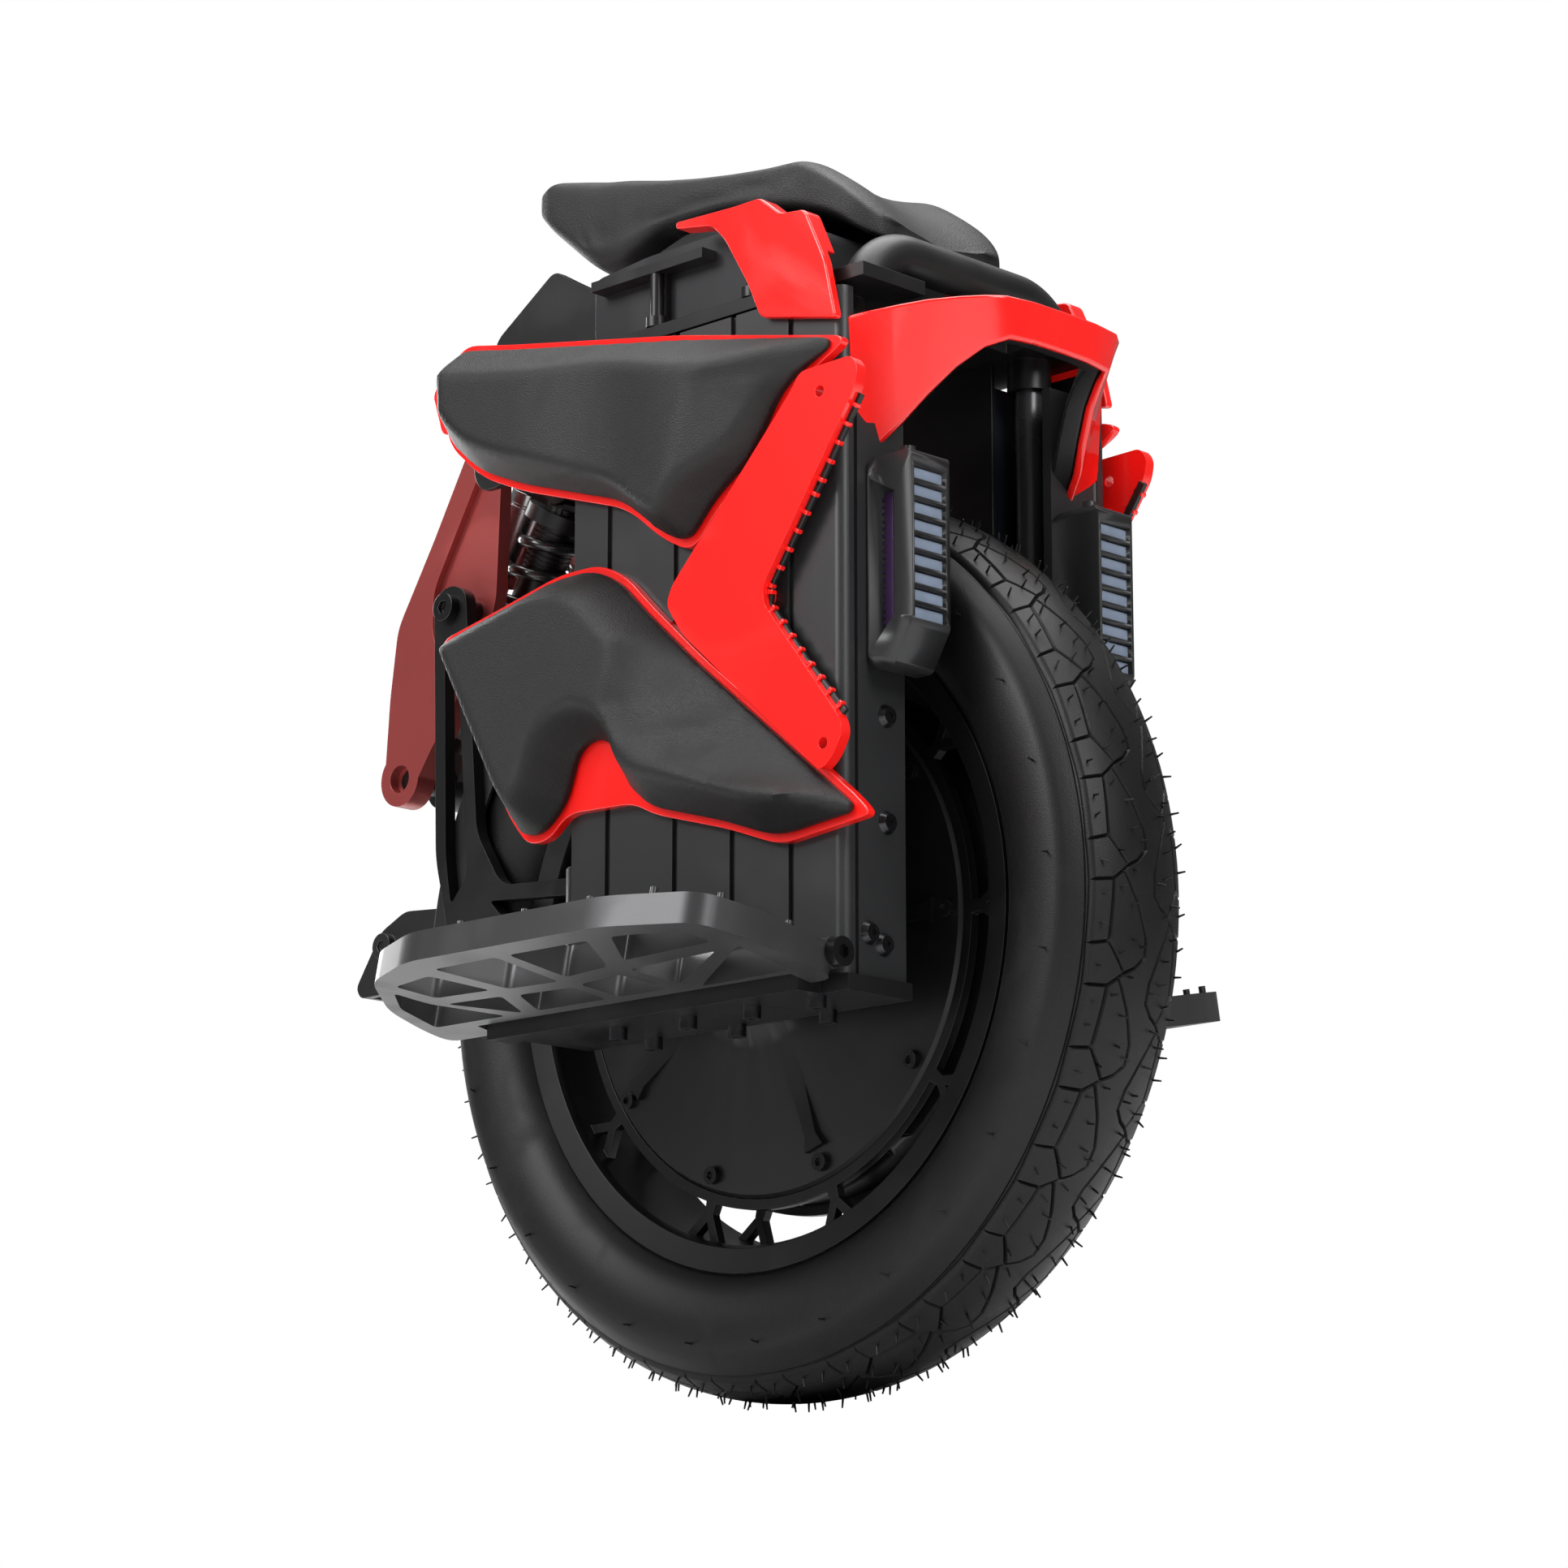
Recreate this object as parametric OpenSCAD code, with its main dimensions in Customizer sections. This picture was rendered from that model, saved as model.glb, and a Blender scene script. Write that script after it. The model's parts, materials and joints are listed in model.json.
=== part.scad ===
// Suspension electric unicycle: one driven wheel in a sliding carriage, a body of side boxes
// on four guide tubes, folding pedals, padded sides and a seat on top.
// Forward is +X, left is +Y, up is +Z; the ground is z = 0 and the axle lies over the origin.
// All sizes in mm. Right is the side with y below zero.

/* [Wheel] */
// Outer radius of the tyre; the axle height follows it
tyre_r = 255; // [215:1:306]
// Width of the tyre across its shoulders
tyre_w = 98; // [80:1:118]
// Radius of the rim at its lip
rim_r = 186; // [155:1:196]
// Radius of the ring of motor cover screws
screw_ring_r = 134.7; // [112:0.1:140]
// Radius of the axle
axle_r = 10; // [8:0.5:12]

/* [Body] */
// Front face of the side boxes, forward of the axle
box_front = 138; // [126:1:165]
// Rear face of the side boxes, behind the axle
box_rear = 70; // [58:1:84]
// Half width of the body over the side panels
half_w = 110; // [104:1:132]
// Thickness of the top deck plate
deck_t = 8; // [6:0.5:10]
// Side panel skin thickness
skin_t = 6; // [4:0.5:8]

/* [Suspension] */
// Wheel travel up from full droop
travel = 70; // [58:1:84]
// Radius of the four guide tubes
tube_r = 8.5; // [7:0.5:10]
// Radius of the shock's coil, to the middle of its wire
coil_r = 18; // [16:0.5:21]
// Radius of the coil's wire
wire_r = 3.6; // [3:0.1:4]

/* [Seat and handle] */
// Width of the seat
seat_w = 160; // [134:1:180]
// Radius of the grab handle's bar
bar_r = 12; // [10:0.5:14]

/* [Pads] */
// Thickness of the knee and shin pads
pad_t = 30; // [24:1:36]

/* [Pedals] */
// Reach of a pedal out from its hinge
pedal_w = 107; // [90:1:128]
// Thickness of the pedal frame
pedal_t = 17; // [14:0.5:20]
// Upward tilt of a pedal at rest, in degrees
pedal_tilt = 11; // [6:0.5:14]

/* [Hidden] */
$fn = 64;
fit = 0.05;                      // running clearance, on radius
snug = 0.02;                     // clearance of pressed and bolted pieces, on radius
eps = 0.01;
az = tyre_r;                     // axle height
well_gap = 10;                   // air over the tyre at full travel
deck_z = az + tyre_r + travel + well_gap;
design_top = 335;                // deck height over the axle in the design below
stretch = (deck_z - az) / design_top;
grow_x = tyre_r - 255;           // a bigger wheel pushes the rear pieces back

// height of a design point: stretched above the axle, shifted below it
function h(z) = z > 255 ? az + (z - 255) * stretch : az + z - 255;
// the same for a carriage point, which keeps its distance from the axle
function c(z) = az + z - 255;
function lift(pts) = [for (p = pts) [p[0], h(p[1])]];
function carry(pts) = [for (p = pts) [p[0] < -150 ? p[0] - grow_x : p[0], c(p[1])]];
function rear(x) = x - grow_x;

// a corner rounded with a short curve, and a whole outline of such corners
function unit(v) = v / norm(v);
function bend(a, b, d, r, n) =
    let (u = b + unit(a - b) * r, v = b + unit(d - b) * r)
    [for (i = [0:n]) let (t = i / n) (1 - t) * (1 - t) * u + 2 * t * (1 - t) * b + t * t * v];
function soft(pts, r, n = 5) = let (m = len(pts))
    [for (i = [0:m - 1]) each bend(pts[(i + m - 1) % m], pts[i], pts[(i + 1) % m],
        min(r, norm(pts[i] - pts[(i + m - 1) % m]) * 0.45, norm(pts[i] - pts[(i + 1) % m]) * 0.45), n)];
// an outline moved outward by d, for points that run anticlockwise in x and z
function side_of(a, b) = let (v = unit(b - a)) [v[1], -v[0]];
function grown(pts, d) = let (m = len(pts))
    [for (i = [0:m - 1]) let (n1 = side_of(pts[(i + m - 1) % m], pts[i]),
        n2 = side_of(pts[i], pts[(i + 1) % m]), k = 1 + n1 * n2)
        pts[i] + (n1 + n2) * d / max(k, 0.4)];

// colours
red = [0.78, 0.04, 0.04];
matt_red = [0.62, 0.16, 0.14];
black = [0.05, 0.05, 0.055];
dark = [0.19, 0.19, 0.2];
grey = [0.36, 0.36, 0.38];
silver = [0.74, 0.75, 0.77];
purple = [0.36, 0.22, 0.42];
rubber = [0.035, 0.035, 0.04];
foam = [0.08, 0.08, 0.085];
lens = [0.55, 0.62, 0.75];

// a flat piece lying in the x-z plane, from y0 out to y1, on side s (-1 right, 1 left)
module slab(pts, y0, y1, s) {
    translate([0, s > 0 ? y1 : -y0, 0]) rotate([90, 0, 0]) linear_extrude(y1 - y0) polygon(pts);
}
// a round piece along y, from y0 out to y1 on side s
module stub(x, z, r, y0, y1, s) {
    translate([x, s > 0 ? y1 : -y0, z]) rotate([90, 0, 0]) cylinder(h = y1 - y0, r = r);
}
// a round piece across the whole width
module across(x, z, r, half) {
    translate([x, half, z]) rotate([90, 0, 0]) cylinder(h = 2 * half, r = r);
}
module block(x0, x1, y0, y1, z0, z1, s) {
    translate([x0, s > 0 ? y0 : -y1, z0]) cube([x1 - x0, y1 - y0, z1 - z0]);
}
module round_y() { translate([0, 0, az]) rotate([90, 0, 0]) children(); }

// ---------- wheel ----------
half_t = tyre_w / 2;
bead_y = 33;
module tyre() {
    color(rubber) round_y() rotate_extrude($fn = 128) polygon([
        [rim_r - 9, 1.2 - bead_y], [rim_r + 0.1, -bead_y - 0.4], [rim_r + 0.3, -bead_y - 3],
        [rim_r + 8, -half_t * 0.86],
        [rim_r + 22, -half_t * 0.97], [rim_r + 36, -half_t], [tyre_r - 24, -half_t * 0.97],
        [tyre_r - 15, -half_t * 0.84], [tyre_r - 8, -half_t * 0.62], [tyre_r - 3, -half_t * 0.36],
        [tyre_r - 0.6, -half_t * 0.16], [tyre_r, 0], [tyre_r - 0.6, half_t * 0.16],
        [tyre_r - 3, half_t * 0.36], [tyre_r - 8, half_t * 0.62], [tyre_r - 15, half_t * 0.84],
        [tyre_r - 24, half_t * 0.97], [rim_r + 36, half_t], [rim_r + 22, half_t * 0.97],
        [rim_r + 8, half_t * 0.86], [rim_r + 0.3, bead_y + 3], [rim_r + 0.1, bead_y + 0.4],
        [rim_r - 9, bead_y - 1.2], [rim_r - 9, bead_y - 9], [rim_r + 4, bead_y - 4], [rim_r + 30, half_t - 8],
        [tyre_r - 30, half_t - 9], [tyre_r - 16, half_t - 20], [tyre_r - 12, 0],
        [tyre_r - 16, 20 - half_t], [tyre_r - 30, 9 - half_t], [rim_r + 30, 8 - half_t],
        [rim_r + 4, 4 - bead_y], [rim_r - 9, 9 - bead_y]]);
}

barrel_r = rim_r - 16;
drum_r = screw_ring_r + 9;
case_r = drum_r + 0.15;
ring_r = case_r + 6;
spoke_n = 10;
spoke_y = 20;
// one forked spoke of the rim, flat, pointing along +x
module fork_2d() {
    polygon([[ring_r - 5, -4.5], [ring_r + 6, -3.2], [barrel_r + 3, -15], [barrel_r + 3, -8],
        [ring_r + 11, 0], [barrel_r + 3, 8], [barrel_r + 3, 15], [ring_r + 6, 3.2],
        [ring_r - 5, 4.5]]);
}
module spoke_plane(y) {
    translate([0, 0, y]) linear_extrude(6) {
        for (i = [0:spoke_n - 1]) rotate(i * 360 / spoke_n) fork_2d();
        difference() { circle(r = ring_r, $fn = 96); circle(r = case_r + snug, $fn = 96); }
    }
}
module rim() {
    color(black) round_y() {
        rotate_extrude($fn = 128) polygon([
            [barrel_r, -bead_y + 4], [rim_r - 14, -bead_y - 1], [rim_r, -bead_y - 3.5],
            [rim_r, -bead_y - 0.6], [rim_r - 9.3, -bead_y + 1], [rim_r - 9.3, -bead_y + 9.4],
            [barrel_r + 3.5, -10], [barrel_r + 3.5, 10], [rim_r - 9.3, bead_y - 9.4],
            [rim_r - 9.3, bead_y - 1], [rim_r, bead_y + 0.6], [rim_r, bead_y + 3.5],
            [rim_r - 14, bead_y + 1], [barrel_r, bead_y - 4]]);
        spoke_plane(spoke_y - 3);
        spoke_plane(-spoke_y - 3);
    }
}
module motor_case() {
    color(black) round_y() rotate_extrude($fn = 128) polygon([
        [drum_r - 12, -17], [case_r, -17], [case_r, 17], [drum_r - 12, 17],
        [drum_r - 12, 13], [drum_r - 6, 10], [drum_r - 6, -10], [drum_r - 12, -13]]);
}
cover_y = 17.02;
hub_r = 40;
bearing_ro = 26;
bearing_half = 7;
bearing_y = 34;
module cover_side(s) {
    difference() {
        rotate_extrude($fn = 128) polygon([
            [bearing_ro + snug, s * 28], [bearing_ro + snug, s * 42], [hub_r, s * 42], [hub_r + 4, s * 39],
            [62, s * 33], [drum_r - 26, s * 27], [drum_r - 2, s * 24.5], [drum_r - 0.1, s * 22.5],
            [drum_r - 0.1, s * cover_y], [drum_r - 22, s * cover_y], [drum_r - 30, s * 22], [62, s * 28]]);
        for (i = [0:spoke_n - 1]) rotate(i * 360 / spoke_n) {
            translate([screw_ring_r, 0, s * 21 - 6]) cylinder(h = 12, r = 2.5 + snug, $fn = 24);
            translate([screw_ring_r, 0, s > 0 ? 24.88 : -30.88]) cylinder(h = 6, r = 5 + snug, $fn = 32);
        }
    }
    // spider arms standing on the cover
    for (i = [0:spoke_n / 2 - 1]) rotate(i * 720 / spoke_n) {
        translate([0, 0, s > 0 ? 26 : -30]) linear_extrude(4) polygon([
            [70, -6], [screw_ring_r - 16, -4], [screw_ring_r - 8, -7], [screw_ring_r - 8, 7],
            [screw_ring_r - 16, 4], [70, 6]]);
    }
}
module motor_covers() {
    color([0.09, 0.09, 0.1]) round_y() { cover_side(1); cover_side(-1); }
}
module cover_screws() {
    color(dark) round_y() for (s = [-1, 1], i = [0:spoke_n - 1]) rotate(i * 360 / spoke_n) {
        difference() {
            translate([screw_ring_r, 0, s > 0 ? 24.9 : -28.9]) cylinder(h = 4, r = 5, $fn = 32);
            translate([screw_ring_r, 0, s > 0 ? 26.9 : -30]) cylinder(h = 3.1, r = 2.6, $fn = 6);
        }
        translate([screw_ring_r, 0, s > 0 ? cover_y : -24.95]) cylinder(h = 7.93, r = 2.5, $fn = 24);
    }
}
module stator() {
    color([0.45, 0.28, 0.16]) round_y() difference() {
        cylinder(h = 26, r = drum_r - 14, center = true, $fn = 96);
        cylinder(h = 28, r = 60, center = true);
    }
    color([0.4, 0.4, 0.42]) round_y() difference() {
        cylinder(h = 18, r = 60.5, center = true);
        cylinder(h = 20, r = axle_r + snug, center = true);
    }
}
module wheel_bearings() {
    color(silver) round_y() for (s = [-1, 1]) translate([0, 0, s * bearing_y]) difference() {
        cylinder(h = 2 * bearing_half - 2, r = bearing_ro, center = true);
        cylinder(h = 2 * bearing_half, r = axle_r + fit, center = true);
    }
}
module valve_stem() {
    color(black) translate([0, 0, az]) rotate([0, 18, 0]) {
        translate([0, 0, barrel_r - 13]) cylinder(h = 12.9, r = 3.2, $fn = 24);
        translate([0, 0, barrel_r - 19]) cylinder(h = 8, r = 4.2, $fn = 24);
    }
}

// ---------- carriage: what rides with the axle ----------
arm_y0 = half_t + 4;
arm_y1 = arm_y0 + 8;
guide_y = arm_y1 + 17;
guide_front = box_front - 30;
guide_rear = -box_rear - 18;
housing_r = tube_r + 5.5;
pin_x = rear(-290);
pin_z = c(388);
bolt_x = rear(-231);
bolt_z = c(481);
link_y0 = 33;
link_y1 = 47;
module axle() {
    color(silver) difference() {
        across(0, az, axle_r, arm_y1 + 8);
        across(0, az, 3, arm_y1 + 9);
    }
    color(dark) for (s = [-1, 1]) difference() {
        translate([0, s > 0 ? arm_y1 + 7 : -arm_y1 - eps, az]) rotate([90, 0, 0])
            cylinder(h = 7 - eps, r = 16, $fn = 6);
        across(0, az, axle_r - 1, arm_y1 + 9);
    }
}
arm_pts = carry([[guide_front + 13, 240], [guide_front + 13, 276], [34, 292], [-70, 299],
    [-182, 306], [-204, 340], [-217, 490], [-231, 496], [-245, 490], [-240, 330], [-226, 276],
    [-118, 262], [-60, 232], [-20, 222], [34, 222], [70, 236]]);
module carriage_arm(s) {
    color(purple) difference() {
        slab(soft(arm_pts, 9), arm_y0, arm_y1, s);
        stub(0, az, axle_r + snug, arm_y0 - 1, arm_y1 + 1, s);
        stub(bolt_x, bolt_z, 5 + snug, arm_y0 - 1, arm_y1 + 1, s);
        slab(soft(carry([[-60, 255], [-110, 274], [-182, 288], [-192, 298], [-70, 288]]), 4),
            arm_y0 - 1, arm_y1 + 1, s);
        slab(soft(carry([[-226, 300], [-212, 316], [-224, 460], [-235, 460], [-231, 330]]), 4),
            arm_y0 - 1, arm_y1 + 1, s);
    }
}
module carriage_arm_right() { carriage_arm(-1); }
module carriage_arm_left() { carriage_arm(1); }
module slider(s) {
    difference() {
        union() {
            for (x = [guide_front, guide_rear])
                translate([x, s * guide_y, c(238)]) cylinder(h = 62, r = housing_r);
            block(guide_front - 9, guide_front + 9, arm_y1 + eps, guide_y, c(244), c(272), s);
            block(guide_rear - 9, guide_rear + 9, arm_y1 + eps, guide_y, c(268), c(290), s);
        }
        for (x = [guide_front, guide_rear])
            translate([x, s * guide_y, c(230)]) cylinder(h = 80, r = tube_r + fit);
    }
}
module sliders() { color(dark) { slider(-1); slider(1); } }
link_pts = [[-304, 385], [-300, 440], [-294, 482], [-262, 532], [-233, 581], [-216, 606],
    [-200, 606], [-208, 560], [-211, 486], [-230, 440], [-262, 402], [-274, 385], [-280, 375],
    [-297, 373]];
link_rib = [[-304, 385], [-300, 440], [-294, 482], [-262, 532], [-233, 581], [-216, 606],
    [-228, 606], [-272, 534], [-306, 484], [-306, 440]];
module rear_link(s) {
    color(matt_red) difference() {
        union() {
            slab(soft(carry(link_pts), 8), link_y0, link_y1 - 5, s);
            difference() {
                slab(soft(carry(link_pts), 8), link_y0 + 3, link_y1, s);
                slab(soft(carry([[-226, 420], [-262, 470], [-262, 500], [-216, 576], [-198, 570],
                    [-204, 486], [-216, 440]]), 9), link_y0, link_y1 + 1, s);
            }
            stub(pin_x, pin_z, 17, link_y0, link_y1, s);
        }
        stub(pin_x, pin_z, 6.5 + snug, link_y0 - 1, link_y1 + 1, s);
        stub(pin_x, pin_z, 8.5, link_y1 - 7, link_y1 + 1, s);
        stub(bolt_x, bolt_z, 5 + snug, link_y0 - 1, link_y1 + 1, s);
    }
}
module rear_link_right() { rear_link(-1); }
module rear_link_left() { rear_link(1); }
module link_bolts() {
    color(dark) for (s = [-1, 1]) {
        difference() {
            stub(bolt_x, bolt_z, 8.5, arm_y1 + eps, arm_y1 + 6, s);
            translate([bolt_x, s > 0 ? arm_y1 + 7 : -arm_y1 - 3, bolt_z]) rotate([90, 0, 0])
                cylinder(h = 4, r = 4, $fn = 6);
        }
        stub(bolt_x, bolt_z, 5, link_y0 + 1, arm_y1 + eps, s);
        difference() {
            stub(bolt_x, bolt_z, 9, link_y1 - 5 + eps, arm_y0 - eps, s);
            stub(bolt_x, bolt_z, 4.9, link_y1 - 6, arm_y0 + 1, s);
        }
    }
}
module lower_shock_pin() { color(dark) across(pin_x, pin_z, 6.5, link_y1 - 7.5); }
guard_r = tyre_r + 9;
guard_half = arm_y0 - snug;
guard_crown = [[guard_r - 12, -guard_half], [guard_r - 3, -34], [guard_r + 3, -20], [guard_r + 4, 0],
    [guard_r + 3, 20], [guard_r - 3, 34], [guard_r - 12, guard_half]];
module mudguard() {
    color(black) round_y() rotate([0, 0, 137])
        rotate_extrude(angle = 44, $fn = 128) polygon([
            [guard_r - 34, -guard_half], each guard_crown, [guard_r - 34, guard_half],
            [guard_r - 34, arm_y0 - 2.6],
            [guard_r - 14, arm_y0 - 2.6], [guard_r - 6, 32], [guard_r + 0.4, 19],
            [guard_r + 1.2, 0], [guard_r + 0.4, -19], [guard_r - 6, -32],
            [guard_r - 14, 2.6 - arm_y0], [guard_r - 34, 2.6 - arm_y0]]);
}
foot_half = 32;
module tail_foot() {
    color(dark) difference() {
        union() {
            translate([0, foot_half, 0]) rotate([90, 0, 0]) linear_extrude(2 * foot_half)
                polygon(soft(carry([[-250, 262], [-246, 306], [-300, 310], [-322, 300], [-344, 268],
                    [-340, 261]]), 5));
            for (s = [-1, 1]) stub(rear(-316), c(290), 8, foot_half, foot_half + 5, s);
        }
        round_y() rotate([0, 0, 160]) rotate_extrude(angle = 40, $fn = 128)
            polygon([[200, -60], each [for (p = guard_crown) [p[0] + snug, p[1]]], [200, 60]]);
        for (y = [-20, 0, 20]) translate([rear(-334), y - 7, c(255)]) cube([56, 14, 26]);
        for (s = [-1, 1]) translate([rear(-316), s > 0 ? foot_half + 6 : -foot_half - 3, c(290)])
            rotate([90, 0, 0]) cylinder(h = 3, r = 3.6, $fn = 6);
    }
}

// ---------- shock ----------
eye_x = rear(-187);
eye_z = deck_z - 30;
shock_len = norm([eye_x - pin_x, eye_z - pin_z]);
lean = atan2(eye_x - pin_x, eye_z - pin_z);
// a frame along the shock: z runs from the lower pin to the upper eye
module along_shock(t) { translate([pin_x, 0, pin_z]) rotate([0, lean, 0]) translate([0, 0, t]) children(); }
stroke = shock_len - norm([eye_x - pin_x, eye_z - pin_z - travel]);
rod_r = 5;
body_t0 = 42 + stroke;
body_t1 = shock_len - 14;
module shock_clevis() {
    color(dark) difference() {
        union() {
            across(pin_x, pin_z, 13, 13);
            along_shock(0) translate([-10, -12, 0]) cube([20, 24, 27]);
            along_shock(26) cylinder(h = 8, r = coil_r + wire_r + 1.5);
        }
        across(pin_x, pin_z, 6.5 + fit, 14);
        along_shock(25) cylinder(h = 12, r = rod_r + snug);
    }
}
module shock_rod() {
    color(silver) along_shock(25 + eps) cylinder(h = shock_len - stroke - 46, r = rod_r);
}
module rebound_knob() {
    color(red) along_shock(14) translate([-17, 0, 0]) rotate([0, 90, 0]) cylinder(h = 7 - eps, r = 6);
}
module shock_body() {
    color(black) difference() {
        union() {
            along_shock(body_t0) cylinder(h = body_t1 - body_t0, r = 12.6);
            for (i = [0:9]) along_shock(body_t1 - 44 + i * 3) cylinder(h = 1.4, r = 13.5);
            along_shock(body_t1 - 12) cylinder(h = 9, r = coil_r + wire_r + 1.5);
            across(eye_x, eye_z, 13, 15);
            along_shock(body_t1 - 4) translate([-8, -11, 0]) cube([16, 22, 12]);
            along_shock(body_t1 - 3) translate([-46, -9, 0]) cube([40, 18, 11]);
        }
        along_shock(body_t0 - 1) cylinder(h = body_t1 - body_t0 - 3, r = rod_r + 4);
        across(eye_x, eye_z, 5 + fit, 16);
    }
}
module shock_reservoir() {
    color(silver) along_shock(body_t1 - 62) translate([-37, 0, 0]) difference() {
        union() {
            cylinder(h = 59 - eps, r = 12);
            translate([0, 0, -5]) cylinder(h = 6, r = 9);
        }
        for (z = [8, 50]) translate([0, 0, z]) difference() {
            cylinder(h = 1.6, r = 13);
            cylinder(h = 1.6, r = 11.2);
        }
    }
}
coil_t0 = 34.5 + wire_r;
coil_t1 = body_t1 - 12.5 - wire_r;
coil_turns = 7;
coil_pitch = (coil_t1 - coil_t0) / coil_turns;
module shock_spring() {
    color(black) along_shock(coil_t0)
        linear_extrude(coil_t1 - coil_t0, twist = -360 * coil_turns, slices = 20 * coil_turns, $fn = 10)
            polygon([for (a = [0:36:359]) let (r = coil_r + wire_r * cos(a),
                q = wire_r * sin(a) / coil_pitch * 360) [r * cos(q), r * sin(q)]]);
}
bracket_y0 = arm_y1 + 3;
bracket_y1 = guide_y - tube_r - 0.6;
module upper_shock_pin() {
    color(silver) across(eye_x, eye_z, 5, bracket_y1 + 3);
    color(dark) for (s = [-1, 1]) difference() {
        stub(eye_x, eye_z, 8, 15.3, bracket_y0 - 0.1, s);
        stub(eye_x, eye_z, 4.9, 15, bracket_y0 + 1, s);
    }
}

// ---------- body frame ----------
module stanchions() {
    color(silver) for (s = [-1, 1], x = [guide_front, guide_rear])
        translate([x, s * guide_y, h(204)]) cylinder(h = deck_z + deck_t - 1 - h(204), r = tube_r);
}
deck_half = half_w - 6;
grip_half = 54;                  // half width of the finger gap under the grab handle
shell_z = deck_z + 58;
module deck() {
    color(dark) difference() {
        union() {
            translate([guide_rear - 20, -deck_half, deck_z]) linear_extrude(deck_t)
                square([box_front + 10 - guide_rear + 20, 2 * deck_half]);
            for (s = [-1, 1], x = [guide_front, guide_rear])
                translate([x, s * guide_y, deck_z - 18]) cylinder(h = 18 + eps, r = housing_r - 1.2);
        }
        for (s = [-1, 1], x = [guide_front, guide_rear])
            translate([x, s * guide_y, deck_z - 19]) cylinder(h = deck_t + 20, r = tube_r + snug);
        // room for fingers under the grab handle
        translate([box_front - 26, -grip_half, deck_z - 1]) cube([40, 2 * grip_half, deck_t + 2]);
    }
}
module controller() {
    color([0.12, 0.12, 0.13]) {
        translate([-60, -72, deck_z + deck_t + eps]) cube([140, 144, 24]);
        for (i = [0:11]) translate([-56 + i * 12, -68, deck_z + deck_t + 24]) cube([4, 136, 14]);
    }
}
shell_half = deck_half - 12;
shell_front = 95;
shell_rear = -box_rear - 4;
module top_shell() {
    color(grey) difference() {
        translate([0, shell_half, 0]) rotate([90, 0, 0]) linear_extrude(2 * shell_half) polygon(soft([
            [shell_rear, deck_z + deck_t + eps], [shell_front, deck_z + deck_t + eps],
            [shell_front, deck_z + 44],
            [70, shell_z - 2], [-30, shell_z - 2], [shell_rear, shell_z - 6]], 6));
        translate([0, shell_half - 3, 0]) rotate([90, 0, 0]) linear_extrude(2 * shell_half - 6) polygon([
            [shell_rear + 3, deck_z + 1], [shell_front - 3, deck_z + 1], [shell_front - 3, deck_z + 42],
            [69, shell_z - 5], [-30, shell_z - 5], [shell_rear + 3, shell_z - 9]]);
        translate([shell_front - 4, 30, deck_z + 27]) rotate([0, 90, 0]) cylinder(h = 6, r = 8.5 + fit);
        translate([shell_front - 4, -30, deck_z + 27]) rotate([0, 90, 0]) cylinder(h = 6, r = 9);
    }
}
module charge_port() {
    cap_pin();
    color(silver) translate([shell_front - 14, -30, deck_z + 27]) rotate([0, 90, 0]) difference() {
        union() { cylinder(h = 14, r = 9 - snug); translate([0, 0, 1]) cylinder(h = 9, r = 12); }
        translate([0, 0, 3]) cylinder(h = 12, r = 7);
    }
}
cap_x = shell_front + 0.6;
cap_z = deck_z + 40;
module charge_cap() {
    color(black) {
        translate([cap_x, -30, deck_z + 27]) rotate([0, 90, 0]) cylinder(h = 3, r = 11);
        difference() {
            union() {
                translate([cap_x, -35, deck_z + 32]) cube([3, 10, 8]);
                translate([cap_x + 1.5, -25, cap_z]) rotate([90, 0, 0]) cylinder(h = 10, r = 2.1, $fn = 32);
            }
            translate([cap_x + 1.5, -24, cap_z]) rotate([90, 0, 0]) cylinder(h = 12, r = 1 + fit, $fn = 32);
        }
    }
}
module cap_pin() {
    color(silver) translate([cap_x + 1.5, -22, cap_z]) rotate([90, 0, 0]) cylinder(h = 16, r = 1, $fn = 32);
    color(grey) for (y = [-24.6, -39.6]) difference() {
        translate([shell_front + eps, y, cap_z - 2.2]) cube([4.4, 4.2, 4.4]);
        translate([cap_x + 1.5, y - 1, cap_z]) rotate([-90, 0, 0]) cylinder(h = 7, r = 0.99, $fn = 32);
    }
}
module power_button() {
    color(red) translate([shell_front - 10, 30, deck_z + 27]) rotate([0, 90, 0]) {
        cylinder(h = 13, r = 8.5);
        cylinder(h = 4, r = 10.5);
    }
}
bracket_pts = [[shell_rear - 0.1, 598 + eps], [shell_rear - 0.1, 634], [-112, 655], [-134, 668], [-184, 636],
    [-200, 580], [-203, 556], [-196, 545], [-178, 545], [-166, 560], [-158, 606], [-140, 622],
    [-112, 612], [-105, 598 + eps]];
module rear_brackets() {
    color(dark) for (s = [-1, 1]) difference() {
        slab(soft([for (p = bracket_pts) [p[0] < -150 ? rear(p[0]) : p[0], p[1] - 598 + deck_z + deck_t]], 6),
            bracket_y0, bracket_y1, s);
        stub(eye_x, eye_z, 5 + snug, bracket_y0 - 1, bracket_y1 + 1, s);
    }
}

panel_z0 = h(209);
panel_z1 = deck_z - 4;
grooves = [-41, 12, 56, 100];
module panel_2d() {
    difference() {
        union() {
            translate([-box_rear, half_w - skin_t]) square([box_rear + box_front - 6, skin_t]);
            translate([box_front - 6, half_w - 6]) circle(r = 6);
            translate([box_front - skin_t, half_w - 9]) square([skin_t, 4]);
            translate([box_front - 12, half_w - skin_t]) square([7, 4]);
        }
        for (x = grooves) translate([x - 2, half_w - 2.6]) square([4, 3]);
    }
}
module side_panel(s) {
    color(grey) mirror([0, s > 0 ? 0 : 1, 0]) translate([0, 0, panel_z0])
        linear_extrude(panel_z1 - panel_z0) panel_2d();
}
module side_panel_right() { side_panel(-1); }
module side_panel_left() { side_panel(1); }
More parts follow.
